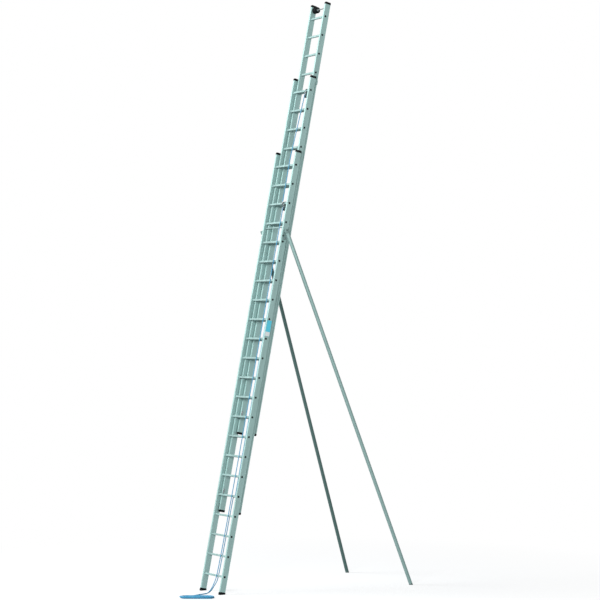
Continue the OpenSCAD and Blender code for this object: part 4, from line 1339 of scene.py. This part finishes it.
class LADDER_OT_rope_clamps(bpy.types.Operator):
    """Blocks on the first rungs that hold the rope ends"""

    bl_idname = "ladder.rope_clamps"
    bl_label = "Rope clamps"

    def execute(self, context):
        s = sizes()
        half = s.rung_size / 2
        front, rim = -half - CLAMP_FRONT, half + CLAMP_STRAP
        outline = rounded_rectangle(-half - 0.004, -rim, rim, rim, 0.006)
        opening = rounded_square(half + SEAT, RUNG_CORNER)
        for section, x0, x1 in CLAMPS:
            tree = bmesh.new()
            place = moved(0, s.rung_depth, rung_height(0))
            add_box(tree, (x0, front, -CLAMP_HALF), (x1, -half - SEAT, CLAMP_HALF), place)
            for x in (x0 + CLAMP_INSET, x1 - CLAMP_INSET - CLAMP_STRAP_W):
                strap = place @ moved(x=x)
                add_plate(tree, outline, CLAMP_STRAP_W, strap @ ACROSS, [opening], 0.0006)
                add_bolt_head(tree, strap @ moved(CLAMP_STRAP_W / 2, front, 0) @ FORWARDS, 0.008, 0.0055)
            node = f"{SECTION_NAMES[section]}_rope_clamp"
            section_piece(f"{node}_cast", tree, "zinc", "zinc_steel", section, node)
        return {"FINISHED"}


ANCHOR_X = 0.125
ANCHOR_HALF = 0.008
ANCHOR_STRAP = 0.004


class LADDER_OT_rope_anchor(bpy.types.Operator):
    """Loop on the haul pulley's rung for the lift rope's standing end"""

    bl_idname = "ladder.rope_anchor"
    bl_label = "Rope anchor"

    def execute(self, context):
        s = sizes()
        half = s.rung_size / 2
        place = moved(ANCHOR_X, s.rung_depth, rung_height(HAUL_RUNG))
        tree = bmesh.new()
        opening = rounded_square(half + SEAT, RUNG_CORNER)
        add_plate(tree, rounded_square(half + ANCHOR_STRAP, 0.007), 2 * ANCHOR_HALF,
                  place @ moved(x=-ANCHOR_HALF) @ ACROSS, [opening], 0.0008)
        add_box(tree, (-ANCHOR_HALF, -0.033, -half), (ANCHOR_HALF, -half - 0.002, 0.0238), place)
        section_piece("lift_rope_anchor_loop", tree, "zinc", "zinc_steel", BASE, "lift_rope_anchor")
        return {"FINISHED"}


# ------------------------------------------------------------------ stay brackets and yokes

PIVOT_UP = 5.150
PIVOT_DEPTH = 0.045
BRACKET_T = 0.006
BOLT_AT = (0.060, PIVOT_UP - 0.098)
KNOB_AT = (0.020, PIVOT_UP - 0.064)
BOLT_HOLE_R = 0.0052
BRACKET_RIVETS = ((0.066, PIVOT_UP - 0.066), (0.024, PIVOT_UP - 0.104))
HUB_GAP = 0.0005
HUB_LENGTH = 0.018
STAY_OUT = 0.052
STAY_PIN_R = 0.008
PIN_SUNK = 0.008
PIN_WASHER = 0.0016
SPLAY_PIN_R = 0.006


class LADDER_OT_stay_brackets(bpy.types.Operator):
    """Plates on the outside of the base stiles that carry the stays"""

    bl_idname = "ladder.stay_brackets"
    bl_label = "Stay brackets"

    def execute(self, context):
        outline = rounded_rectangle(0.012, PIVOT_UP - 0.118, 0.078, PIVOT_UP + 0.024, 0.008)
        holes = [circle(STAY_PIN_R + SEAT, 32, PIVOT_DEPTH, PIVOT_UP), circle(BOLT_HOLE_R, 24, *BOLT_AT),
                 circle(BOLT_HOLE_R, 24, *KNOB_AT)]
        for side_name, side in SIDES.items():
            tree = bmesh.new()
            face = moved(x=outer_x(BASE))
            add_plate(tree, outline, BRACKET_T, face @ ACROSS, holes, 0.0010)
            for y, z in BRACKET_RIVETS:
                add_rivet(tree, face @ moved(BRACKET_T, y, z) @ ACROSS)
            node = f"stay_bracket_{side_name}"
            section_piece(f"{node}_plate", tree, "cast", "stile_aluminium", BASE, node, side=side)
        return {"FINISHED"}


class LADDER_OT_stay_fasteners(bpy.types.Operator):
    """Pivot pins, bolts and lobed lock knobs of the stay brackets"""

    bl_idname = "ladder.stay_fasteners"
    bl_label = "Stay pins, bolts and knobs"

    def execute(self, context):
        x0 = outer_x(BASE)
        pins, bolts, knobs = bmesh.new(), bmesh.new(), bmesh.new()
        reach = BRACKET_T + HUB_LENGTH + 1.5 * HUB_GAP
        for side in (LEFT, RIGHT):
            pivot = mirrored(side) @ moved(x0, PIVOT_DEPTH, PIVOT_UP)
            add_bar(pins, STAY_PIN_R, PIN_SUNK + reach, pivot @ moved(x=-PIN_SUNK) @ ACROSS)
            add_lathe(pins, [(0, 0), (0.012, 0), (0.012, 0.0012), (0.0115, PIN_WASHER), (0, PIN_WASHER)],
                      pivot @ moved(x=reach) @ ACROSS)
            add_hexagon(pins, 0.018, 0.0024, pivot @ moved(x=reach + PIN_WASHER) @ ACROSS)
            add_bolt_head(bolts, mirrored(side) @ moved(x0 + BRACKET_T, *BOLT_AT) @ ACROSS, 0.0155, 0.0105)
            add_knob(knobs, mirrored(side) @ moved(x0 + BRACKET_T, *KNOB_AT) @ ACROSS)
        section_piece("stay_pivots_shouldered", pins, "zinc", "zinc_steel", BASE, "stay_pivots")
        section_piece("stay_bracket_bolts_hexagon", bolts, "zinc", "zinc_steel", BASE, "stay_bracket_bolts")
        section_piece("stay_lock_knobs_lobed", knobs, "nylon", "black_plastic", BASE, "stay_lock_knobs")
        return {"FINISHED"}


KNOB_R = 0.011
KNOB_LOBES = 5
KNOB_STEPS = 40
# Heights of a knob's rings, with each ring's share of the radius and the depth of its lobes.
KNOB_RINGS = ((0, 0.55, 0), (0.003, 0.55, 0), (0.0045, 0.92, 0.10), (0.0055, 1.0, 0.12),
              (0.0130, 1.0, 0.12), (0.0150, 0.93, 0.10), (0.0160, 0.75, 0.04), (0.0154, 0.45, 0))


def add_knob(tree, matrix):
    """Lobed hand knob with a narrow neck, from z = 0 up."""
    loops = []
    for z, share, wave in KNOB_RINGS:
        loop = []
        for step in range(KNOB_STEPS):
            angle = 2 * math.pi * step / KNOB_STEPS
            r = KNOB_R * share * (1 + wave * math.cos(KNOB_LOBES * angle)) / (1 + wave)
            loop.append((r * math.cos(angle), r * math.sin(angle), z))
        loops.append(loop)
    add_loft(tree, loops, matrix)


TIE_BAR_R = 0.009
TIE_BAR_DROP = 0.070


class LADDER_OT_tie_bar(bpy.types.Operator):
    """Tube between the base stiles, level with the stay brackets, with a bead rolled at each end"""

    bl_idname = "ladder.tie_bar"
    bl_label = "Tie bar"

    def execute(self, context):
        half, r, bead = inner_x(BASE), TIE_BAR_R, TIE_BAR_R + 0.0035
        place = moved(0, sizes().rung_depth, rung_height(TIE_RUNG) - TIE_BAR_DROP)
        profile = [(r, 0), (r, half - 0.006), (r + 0.001, half - 0.005), (bead, half - 0.001), (bead, half),
                   (r, half), (r, half + 0.005)]
        tree = bmesh.new()
        for side in (LEFT, RIGHT):
            add_lathe(tree, profile, place @ mirrored(side) @ ACROSS)
        section_piece("stay_tie_bar_swaged", tree, "rung", "rung_aluminium", BASE, "stay_tie_bar")
        return {"FINISHED"}


CHEEK_IN = 0.013
CHEEK_T = 0.008
YOKE_TOP = 0.034
YOKE_HALF = 0.020
HUB_X = -(STAY_OUT - BRACKET_T) + HUB_GAP
YOKE_HUB_R = 0.018


class LADDER_OT_stay_yokes(bpy.types.Operator):
    """Cast universal pieces between the brackets and the stays"""

    bl_idname = "ladder.stay_yokes"
    bl_label = "Stay yokes"

    def execute(self, context):
        cheek_out = CHEEK_IN + CHEEK_T
        cheek = arc(YOKE_HALF, 180, 360, 20) + [(YOKE_HALF, YOKE_TOP), (-YOKE_HALF, YOKE_TOP)]
        for side_name, side in SIDES.items():
            tree = bmesh.new()
            add_ring(tree, STAY_PIN_R + RUN_FIT, YOKE_HUB_R, HUB_LENGTH, moved(x=HUB_X) @ ACROSS, 0.0008)
            # A block on top of the hub, and the web from there to the tops of the cheeks.
            add_box(tree, (HUB_X, -cheek_out, 0.014), (HUB_X + HUB_LENGTH, cheek_out, YOKE_TOP))
            add_box(tree, (HUB_X + 0.004, -cheek_out, 0.020), (YOKE_HALF, cheek_out, YOKE_TOP))
            for y in (-cheek_out, CHEEK_IN):
                add_plate(tree, [(x, -z) for x, z in cheek], CHEEK_T, moved(y=y) @ BACKWARDS,
                          [circle(SPLAY_PIN_R + RUN_FIT)], 0.0012)
            node = f"stay_yoke_{side_name}"
            new_piece(f"{node}_cast", tree, "cast", node, yoke_frame(side) @ mirrored(side),
                      (node,))
        return {"FINISHED"}


# ------------------------------------------------------------------ stays

POLE_TOP = 0.036
POLE_R = 0.026
POLE_WALL = 0.002
STAY_SOLE = 0.022
TONGUE_HALF = 0.0126
TONGUE_R = 0.016
# Ends of a stay head's round part, inside the pole and under the tongue.
HEAD_LOW = -0.096
HEAD_HIGH = -0.029


def stay_piece(part, shape, tree, material, side_name):
    """A piece drawn in a stay's frame, as if on the right, that stands for a part of the stay."""
    side = SIDES[side_name]
    node = f"stay_{part}_{side_name}"
    return new_piece(f"{node}_{shape}", tree, material, f"stay_{side_name}",
                     stay_frame(side) @ mirrored(side), (node,))


class LADDER_OT_stay_heads(bpy.types.Operator):
    """Cast heads of the stays, with their splay pins"""

    bl_idname = "ladder.stay_heads"
    bl_label = "Stay heads"

    def execute(self, context):
        pin_half = CHEEK_IN + CHEEK_T + 0.002
        tongue = arc(TONGUE_R, 0, 180, 18) + [(-TONGUE_R, -POLE_TOP), (TONGUE_R, -POLE_TOP)]
        plug_r = POLE_R - POLE_WALL - SEAT
        collar = [(0, HEAD_LOW), (plug_r, HEAD_LOW), (plug_r, -POLE_TOP), (POLE_R, -POLE_TOP),
                  (POLE_R, -0.0345), (POLE_R - 0.0015, -0.0320), (0.0185, HEAD_HIGH), (0, HEAD_HIGH)]
        for side_name in SIDES:
            tree = bmesh.new()
            add_plate(tree, [(x, -z) for x, z in tongue], 2 * TONGUE_HALF,
                      moved(y=-TONGUE_HALF) @ BACKWARDS, bevel=0.0016)
            add_lathe(tree, collar, steps=48)
            add_bar(tree, SPLAY_PIN_R, 2 * pin_half, moved(y=-pin_half) @ BACKWARDS)
            stay_piece("head", "cast", tree, "cast", side_name)
        return {"FINISHED"}


class LADDER_OT_stay_poles(bpy.types.Operator):
    """Drawn tubes of the stays, riveted to their heads"""

    bl_idname = "ladder.stay_poles"
    bl_label = "Stay poles"

    def execute(self, context):
        low = STAY_SOLE - STAY_LENGTH
        # Heights of the rivets and their turns round the pole: four at the head and two at the foot.
        rivets = [(-0.055, 0), (-0.080, 90), (-0.055, 180), (-0.080, 270), (low + 0.020, 0),
                  (low + 0.020, 180)]
        for side_name, side in SIDES.items():
            tree = bmesh.new()
            add_ring(tree, POLE_R - POLE_WALL, POLE_R, -POLE_TOP - low, moved(z=low), 0.0006, 64)
            for z, turn in rivets:
                around = Matrix.Rotation(math.radians(turn), 4, "Z")
                add_rivet(tree, around @ moved(POLE_R - 0.0003, 0, z) @ ACROSS, 0.004, 0.0018)
            # The left stay takes the darker tube colour, which is painted shade.
            finish = "dull_pole" if side == LEFT else "pole"
            stay_piece("pole", "tube", tree, finish, side_name)
        return {"FINISHED"}


SOLE_PLUG = 0.028
# Above this height a sole's rings take only a share of the floor's tilt against the pole.
SOLE_UPPER = 0.009
UPPER_TILT = 0.35


class LADDER_OT_stay_feet(bpy.types.Operator):
    """Grey rubber soles of the stays, flat on the floor"""

    bl_idname = "ladder.stay_feet"
    bl_label = "Stay feet"

    def execute(self, context):
        top = STAY_SOLE - STAY_LENGTH - SEAT
        plug_r, groove_r = POLE_R - POLE_WALL - SEAT, POLE_R - 0.0010
        for side_name, side in SIDES.items():
            frame = stay_frame(side) @ mirrored(side)
            loops = [at_height(circle(radius, 48), z) for radius, z in (
                (plug_r, top + SOLE_PLUG), (plug_r, top), (POLE_R - 0.0008, top), (POLE_R, top - 0.0008))]
            # Rings down the sole, by their height above the floor; the upper ones are tilted less than it.
            for radius, height in (
                    (POLE_R, 0.0150), (groove_r, 0.0143), (groove_r, 0.0130), (POLE_R, 0.0123),
                    (POLE_R, 0.0090), (groove_r, 0.0083), (groove_r, 0.0070), (POLE_R, 0.0063),
                    (POLE_R, 0.0008), (POLE_R - 0.0008, 0)):
                share = UPPER_TILT if height > SOLE_UPPER else 1.0
                loops.append([(x, y, floor_height(frame, x * share, y * share, height))
                              for x, y in circle(radius, 48)])
            tree = bmesh.new()
            add_loft(tree, loops)
            stay_piece("foot", "sole", tree, "grey_rubber", side_name)
        return {"FINISHED"}


# ------------------------------------------------------------------ wall roller

ROLLER_R = 0.045
ROLLER_W = 0.084
ROLLER_Y = 0.058
ROLLER_DROP = 0.063
ROLLER_GAP = 0.0035
ROLLER_GROOVES = (0.016, 0.029, 0.042, 0.055, 0.068)
GROOVE_DEEP = 0.0018
HUB_R = 0.018
HUB_OUT = 0.002
AXLE_R = 0.008


class LADDER_OT_roller(bpy.types.Operator):
    """Rubber wall roller with its hub, axle and collar"""

    bl_idname = "ladder.roller"
    bl_label = "Wall roller"

    def execute(self, context):
        place = moved(0, ROLLER_Y, section_length() - ROLLER_DROP)
        x0 = ROLLER_GAP - inner_x(TOP)
        tread, hub, axle = bmesh.new(), bmesh.new(), bmesh.new()
        rim = [(ROLLER_R - 0.006, 0), (ROLLER_R - 0.002, 0.001), (ROLLER_R, 0.005)]
        profile = list(rim)
        for groove in ROLLER_GROOVES:
            profile += [(ROLLER_R, groove - 0.002), (ROLLER_R - GROOVE_DEEP, groove - 0.001),
                        (ROLLER_R - GROOVE_DEEP, groove + 0.001), (ROLLER_R, groove + 0.002)]
        profile += [(r, ROLLER_W - z) for r, z in reversed(rim)]
        profile += [(HUB_R + SEAT, ROLLER_W), (HUB_R + SEAT, 0)]
        add_lathe(tread, profile, place @ moved(x=x0) @ ACROSS, 64, closed=True)
        add_ring(hub, AXLE_R + RUN_FIT, HUB_R, ROLLER_W + 2 * HUB_OUT,
                 place @ moved(x=x0 - HUB_OUT) @ ACROSS)
        half = inner_x(TOP) + STILE_WALL + 0.003
        add_bar(axle, AXLE_R, 2 * half, place @ moved(x=-half) @ ACROSS, 0.001, 32)
        collar = place @ moved(x=x0 + ROLLER_W + HUB_OUT + 0.0005) @ ACROSS
        add_ring(axle, AXLE_R, AXLE_R + 0.005, 0.010, collar, 0.0008, 32)
        section_piece("roller_tread_grooved", tread, "rubber", "black_rubber", TOP, "roller_tread",
                      body="roller")
        section_piece("roller_hub_turned", hub, "zinc", "zinc_steel", TOP, "roller_hub", body="roller")
        section_piece("roller_axle_bar", axle, "zinc", "zinc_steel", TOP, "roller_axle")
        return {"FINISHED"}


# ------------------------------------------------------------------ sticker

# The rung that the sticker starts above.
LABEL_RUNG = 12
LABEL_T = 0.0006


class LADDER_OT_sticker(bpy.types.Operator):
    """Plain two-colour vinyl sticker on the right base stile"""

    bl_idname = "ladder.sticker"
    bl_label = "Sticker"

    def execute(self, context):
        low, high = rung_height(LABEL_RUNG) + 0.038, rung_height(LABEL_RUNG + 1) - 0.018
        face = moved(x=outer_x(BASE)) @ ACROSS
        cyan, white = bmesh.new(), bmesh.new()
        add_plate(cyan, rounded_rectangle(0.008, low, 0.082, high, 0.003), LABEL_T, face, bevel=0.0001,
                  steps=1)
        add_plate(white, rounded_rectangle(0.010, low + 0.002, 0.080, low + 0.062, 0.002), 0.0002,
                  face @ moved(z=LABEL_T), bevel=0)
        section_piece("stile_label_vinyl", cyan, "sticker", "blue_label", BASE, "stile_label")
        section_piece("stile_label_panel", white, "sticker_white", "blue_label", BASE)
        return {"FINISHED"}


# ------------------------------------------------------------------ stage

SENSOR_WIDTH = 36
CLIP_END = 200


class StageSettings(bpy.types.PropertyGroup):
    """Camera and light"""

    lens: FloatProperty(name="Lens", description="Focal length in mm on a 36 mm sensor", default=113.317)
    place: FloatVectorProperty(name="Place", description="Camera's place", subtype="XYZ",
                               default=(22.7096, -14.8394, 3.6526))
    turn: FloatProperty(name="Turn", description="Turn to the left of straight back", subtype="ANGLE",
                        default=math.radians(56.7810))
    tilt: FloatProperty(name="Tilt", description="Upward tilt", subtype="ANGLE",
                        default=math.radians(0.9247))
    roll: FloatProperty(name="Roll", description="Roll about the lens", subtype="ANGLE",
                        default=math.radians(0.2071))
    world: FloatProperty(name="Surround", description="Strength of the even light all round", default=0.22)
    key: FloatProperty(name="Key light", description="Strength of the front light from above", default=1.1)
    fill: FloatProperty(name="Fill light", description="Strength of the light from the right front",
                        default=0.75)


class LADDER_OT_camera(bpy.types.Operator):
    """Camera at the low right front"""

    bl_idname = "ladder.camera"
    bl_label = "Camera"

    def execute(self, context):
        data = bpy.data.cameras.new("camera")
        stage = context.scene.ladder_stage
        data.lens = stage.lens
        data.sensor_width = SENSOR_WIDTH
        data.clip_end = CLIP_END
        camera = bpy.data.objects.new("camera", data)
        context.scene.collection.objects.link(camera)
        turn = (Matrix.Rotation(stage.turn, 4, "Z") @ Matrix.Rotation(math.pi / 2 + stage.tilt, 4, "X")
                @ Matrix.Rotation(stage.roll, 4, "Z"))
        camera.matrix_world = Matrix.Translation(stage.place) @ turn
        context.scene.camera = camera
        return {"FINISHED"}


FLOOR_RADIUS = 6.5
# The floor fades to white from here to its edge.
FLOOR_SHADED = 2.2
# The floor gives off this much by itself, so that its shadows stay faint.
FLOOR_GLOW = 0.665
# Each lamp's place and the width of its disk; its strength is the stage setting of the same name.
LAMPS = {"key": ((-11, -22, 18), 14), "fill": ((15, -15, 8), 9)}
LAMP_AIM = Vector((0, 0, 4))


class LADDER_OT_stage(bpy.types.Operator):
    """Pale floor, white surround and soft lights"""

    bl_idname = "ladder.stage"
    bl_label = "Stage"

    def execute(self, context):
        scene = context.scene
        settings = scene.ladder_stage
        scene.view_settings.view_transform = "Standard"
        tree = bmesh.new()
        bmesh.ops.create_circle(tree, cap_ends=True, segments=96, radius=FLOOR_RADIUS)
        mesh = bpy.data.meshes.new("studio_floor")
        tree.to_mesh(mesh)
        tree.free()
        mesh.materials.append(studio_floor())
        floor = bpy.data.objects.new("studio_floor", mesh)
        scene.collection.objects.link(floor)
        scene.world = studio_surround(settings.world)
        for name, (place, size) in LAMPS.items():
            light = bpy.data.lights.new(name, "AREA")
            light.shape, light.size = "DISK", size
            back = Vector(place) - LAMP_AIM
            light.energy = getattr(settings, name) * math.pi ** 2 * back.length ** 2
            lamp = bpy.data.objects.new(name, light)
            scene.collection.objects.link(lamp)
            turn = back.to_track_quat("Z", "Y").to_matrix().to_4x4()
            lamp.matrix_world = Matrix.Translation(place) @ turn
        return {"FINISHED"}


def seen_rays(owner):
    """1 for what the camera, a reflection or a clear surface sees, else 0."""
    path = add_node(owner, "ShaderNodeLightPath", (-1000, 200))
    total = path.outputs["Is Camera Ray"]
    for x, name in ((-800, "Is Glossy Ray"), (-600, "Is Transmission Ray")):
        total = add_node(owner, "ShaderNodeMath", (x, 200), {0: total, 1: path.outputs[name]},
                         operation="MAXIMUM").outputs[0]
    return total


def studio_floor():
    """Pale floor: it shows soft shadows under the ladder and runs into the white surround farther out."""
    material = bpy.data.materials.new("painted_pale_floor")
    material.use_nodes = True
    material.node_tree.nodes.clear()
    # Light that bounces meets a darker paint, so that the floor hardly lights the ladder from below.
    paint = add_node(material, "ShaderNodeBsdfDiffuse", (0, 200), Color=linear("#565A5A"))
    shade = add_node(material, "ShaderNodeBsdfDiffuse", (0, 0), Color=linear("#A3A6A8"))
    glow = add_node(material, "ShaderNodeEmission", (0, -200), Strength=FLOOR_GLOW)
    near = add_node(material, "ShaderNodeAddShader", (200, 0), {0: shade.outputs[0], 1: glow.outputs[0]})
    distance = add_node(material, "ShaderNodeVectorMath", (-400, -400), {0: object_place(material)},
                        operation="LENGTH")
    rim = add_node(material, "ShaderNodeMapRange", (-200, -400), {"Value": distance.outputs["Value"]},
                   From_Min=FLOOR_SHADED, From_Max=FLOOR_RADIUS)
    white = add_node(material, "ShaderNodeEmission", (0, -400))
    seen = add_node(material, "ShaderNodeMixShader", (300, -200),
                    {0: rim.outputs[0], 1: near.outputs[0], 2: white.outputs[0]})
    whole = add_node(material, "ShaderNodeMixShader", (400, 0),
                     {0: seen_rays(material), 1: paint.outputs[0], 2: seen.outputs[0]})
    add_node(material, "ShaderNodeOutputMaterial", (600, 0), {"Surface": whole.outputs[0]})
    return material


def studio_surround(strength):
    """White wherever it is seen, and an even light of that strength on everything in it."""
    world = bpy.data.worlds.new("studio_surround")
    world.use_nodes = True
    world.node_tree.nodes.clear()
    level = add_node(world, "ShaderNodeMapRange", (-200, 0), {"Value": seen_rays(world)},
                     To_Min=strength, To_Max=1.0)
    background = add_node(world, "ShaderNodeBackground", (0, 0), {"Strength": level.outputs[0]},
                          Color=(1, 1, 1, 1))
    add_node(world, "ShaderNodeOutputWorld", (200, 0), {"Surface": background.outputs[0]})
    return world


# ------------------------------------------------------------------ panel and main

OPERATORS = (
    LADDER_OT_camera, LADDER_OT_haul_rope, LADDER_OT_held_ropes, LADDER_OT_stiles, LADDER_OT_rungs,
    LADDER_OT_rung_plugs, LADDER_OT_caps, LADDER_OT_base_feet, LADDER_OT_lower_guides,
    LADDER_OT_upper_guides, LADDER_OT_catches, LADDER_OT_catch_pins, LADDER_OT_hangers, LADDER_OT_axles,
    LADDER_OT_sheaves, LADDER_OT_rope_clamps, LADDER_OT_rope_anchor, LADDER_OT_stay_brackets,
    LADDER_OT_stay_fasteners, LADDER_OT_tie_bar, LADDER_OT_stay_yokes, LADDER_OT_stay_heads,
    LADDER_OT_stay_poles, LADDER_OT_stay_feet, LADDER_OT_roller, LADDER_OT_sticker, LADDER_OT_stage,
)


class LADDER_PT_panel(bpy.types.Panel):
    """Sizes, colours and pieces of the ladder"""

    bl_idname = "LADDER_PT_panel"
    bl_label = "Extension ladder"
    bl_space_type = "VIEW_3D"
    bl_region_type = "UI"
    bl_category = "Ladder"

    def draw(self, context):
        for group in GROUPS:
            settings = getattr(context.scene, group)
            for name in settings.bl_rna.properties.keys():
                if name not in ("name", "rna_type"):
                    self.layout.prop(settings, name)
        for operator in OPERATORS:
            self.layout.operator(operator.bl_idname)


GROUPS = {"ladder_sizes": LadderSizes, "ladder_ropes": RopeSizes, "ladder_colours": LadderColours,
          "ladder_stage": StageSettings}
CLASSES = (*GROUPS.values(), *OPERATORS, LADDER_PT_panel)


def register():
    for cls in CLASSES:
        bpy.utils.register_class(cls)
    for name, group in GROUPS.items():
        setattr(bpy.types.Scene, name, PointerProperty(type=group))


def unregister():
    for name in GROUPS:
        delattr(bpy.types.Scene, name)
    for cls in reversed(CLASSES):
        bpy.utils.unregister_class(cls)


def main():
    register()
    make_materials()
    for operator in OPERATORS:
        module, name = operator.bl_idname.split(".")
        getattr(getattr(bpy.ops, module), name)()
    bpy.context.view_layer.update()


if __name__ == "__main__":
    main()
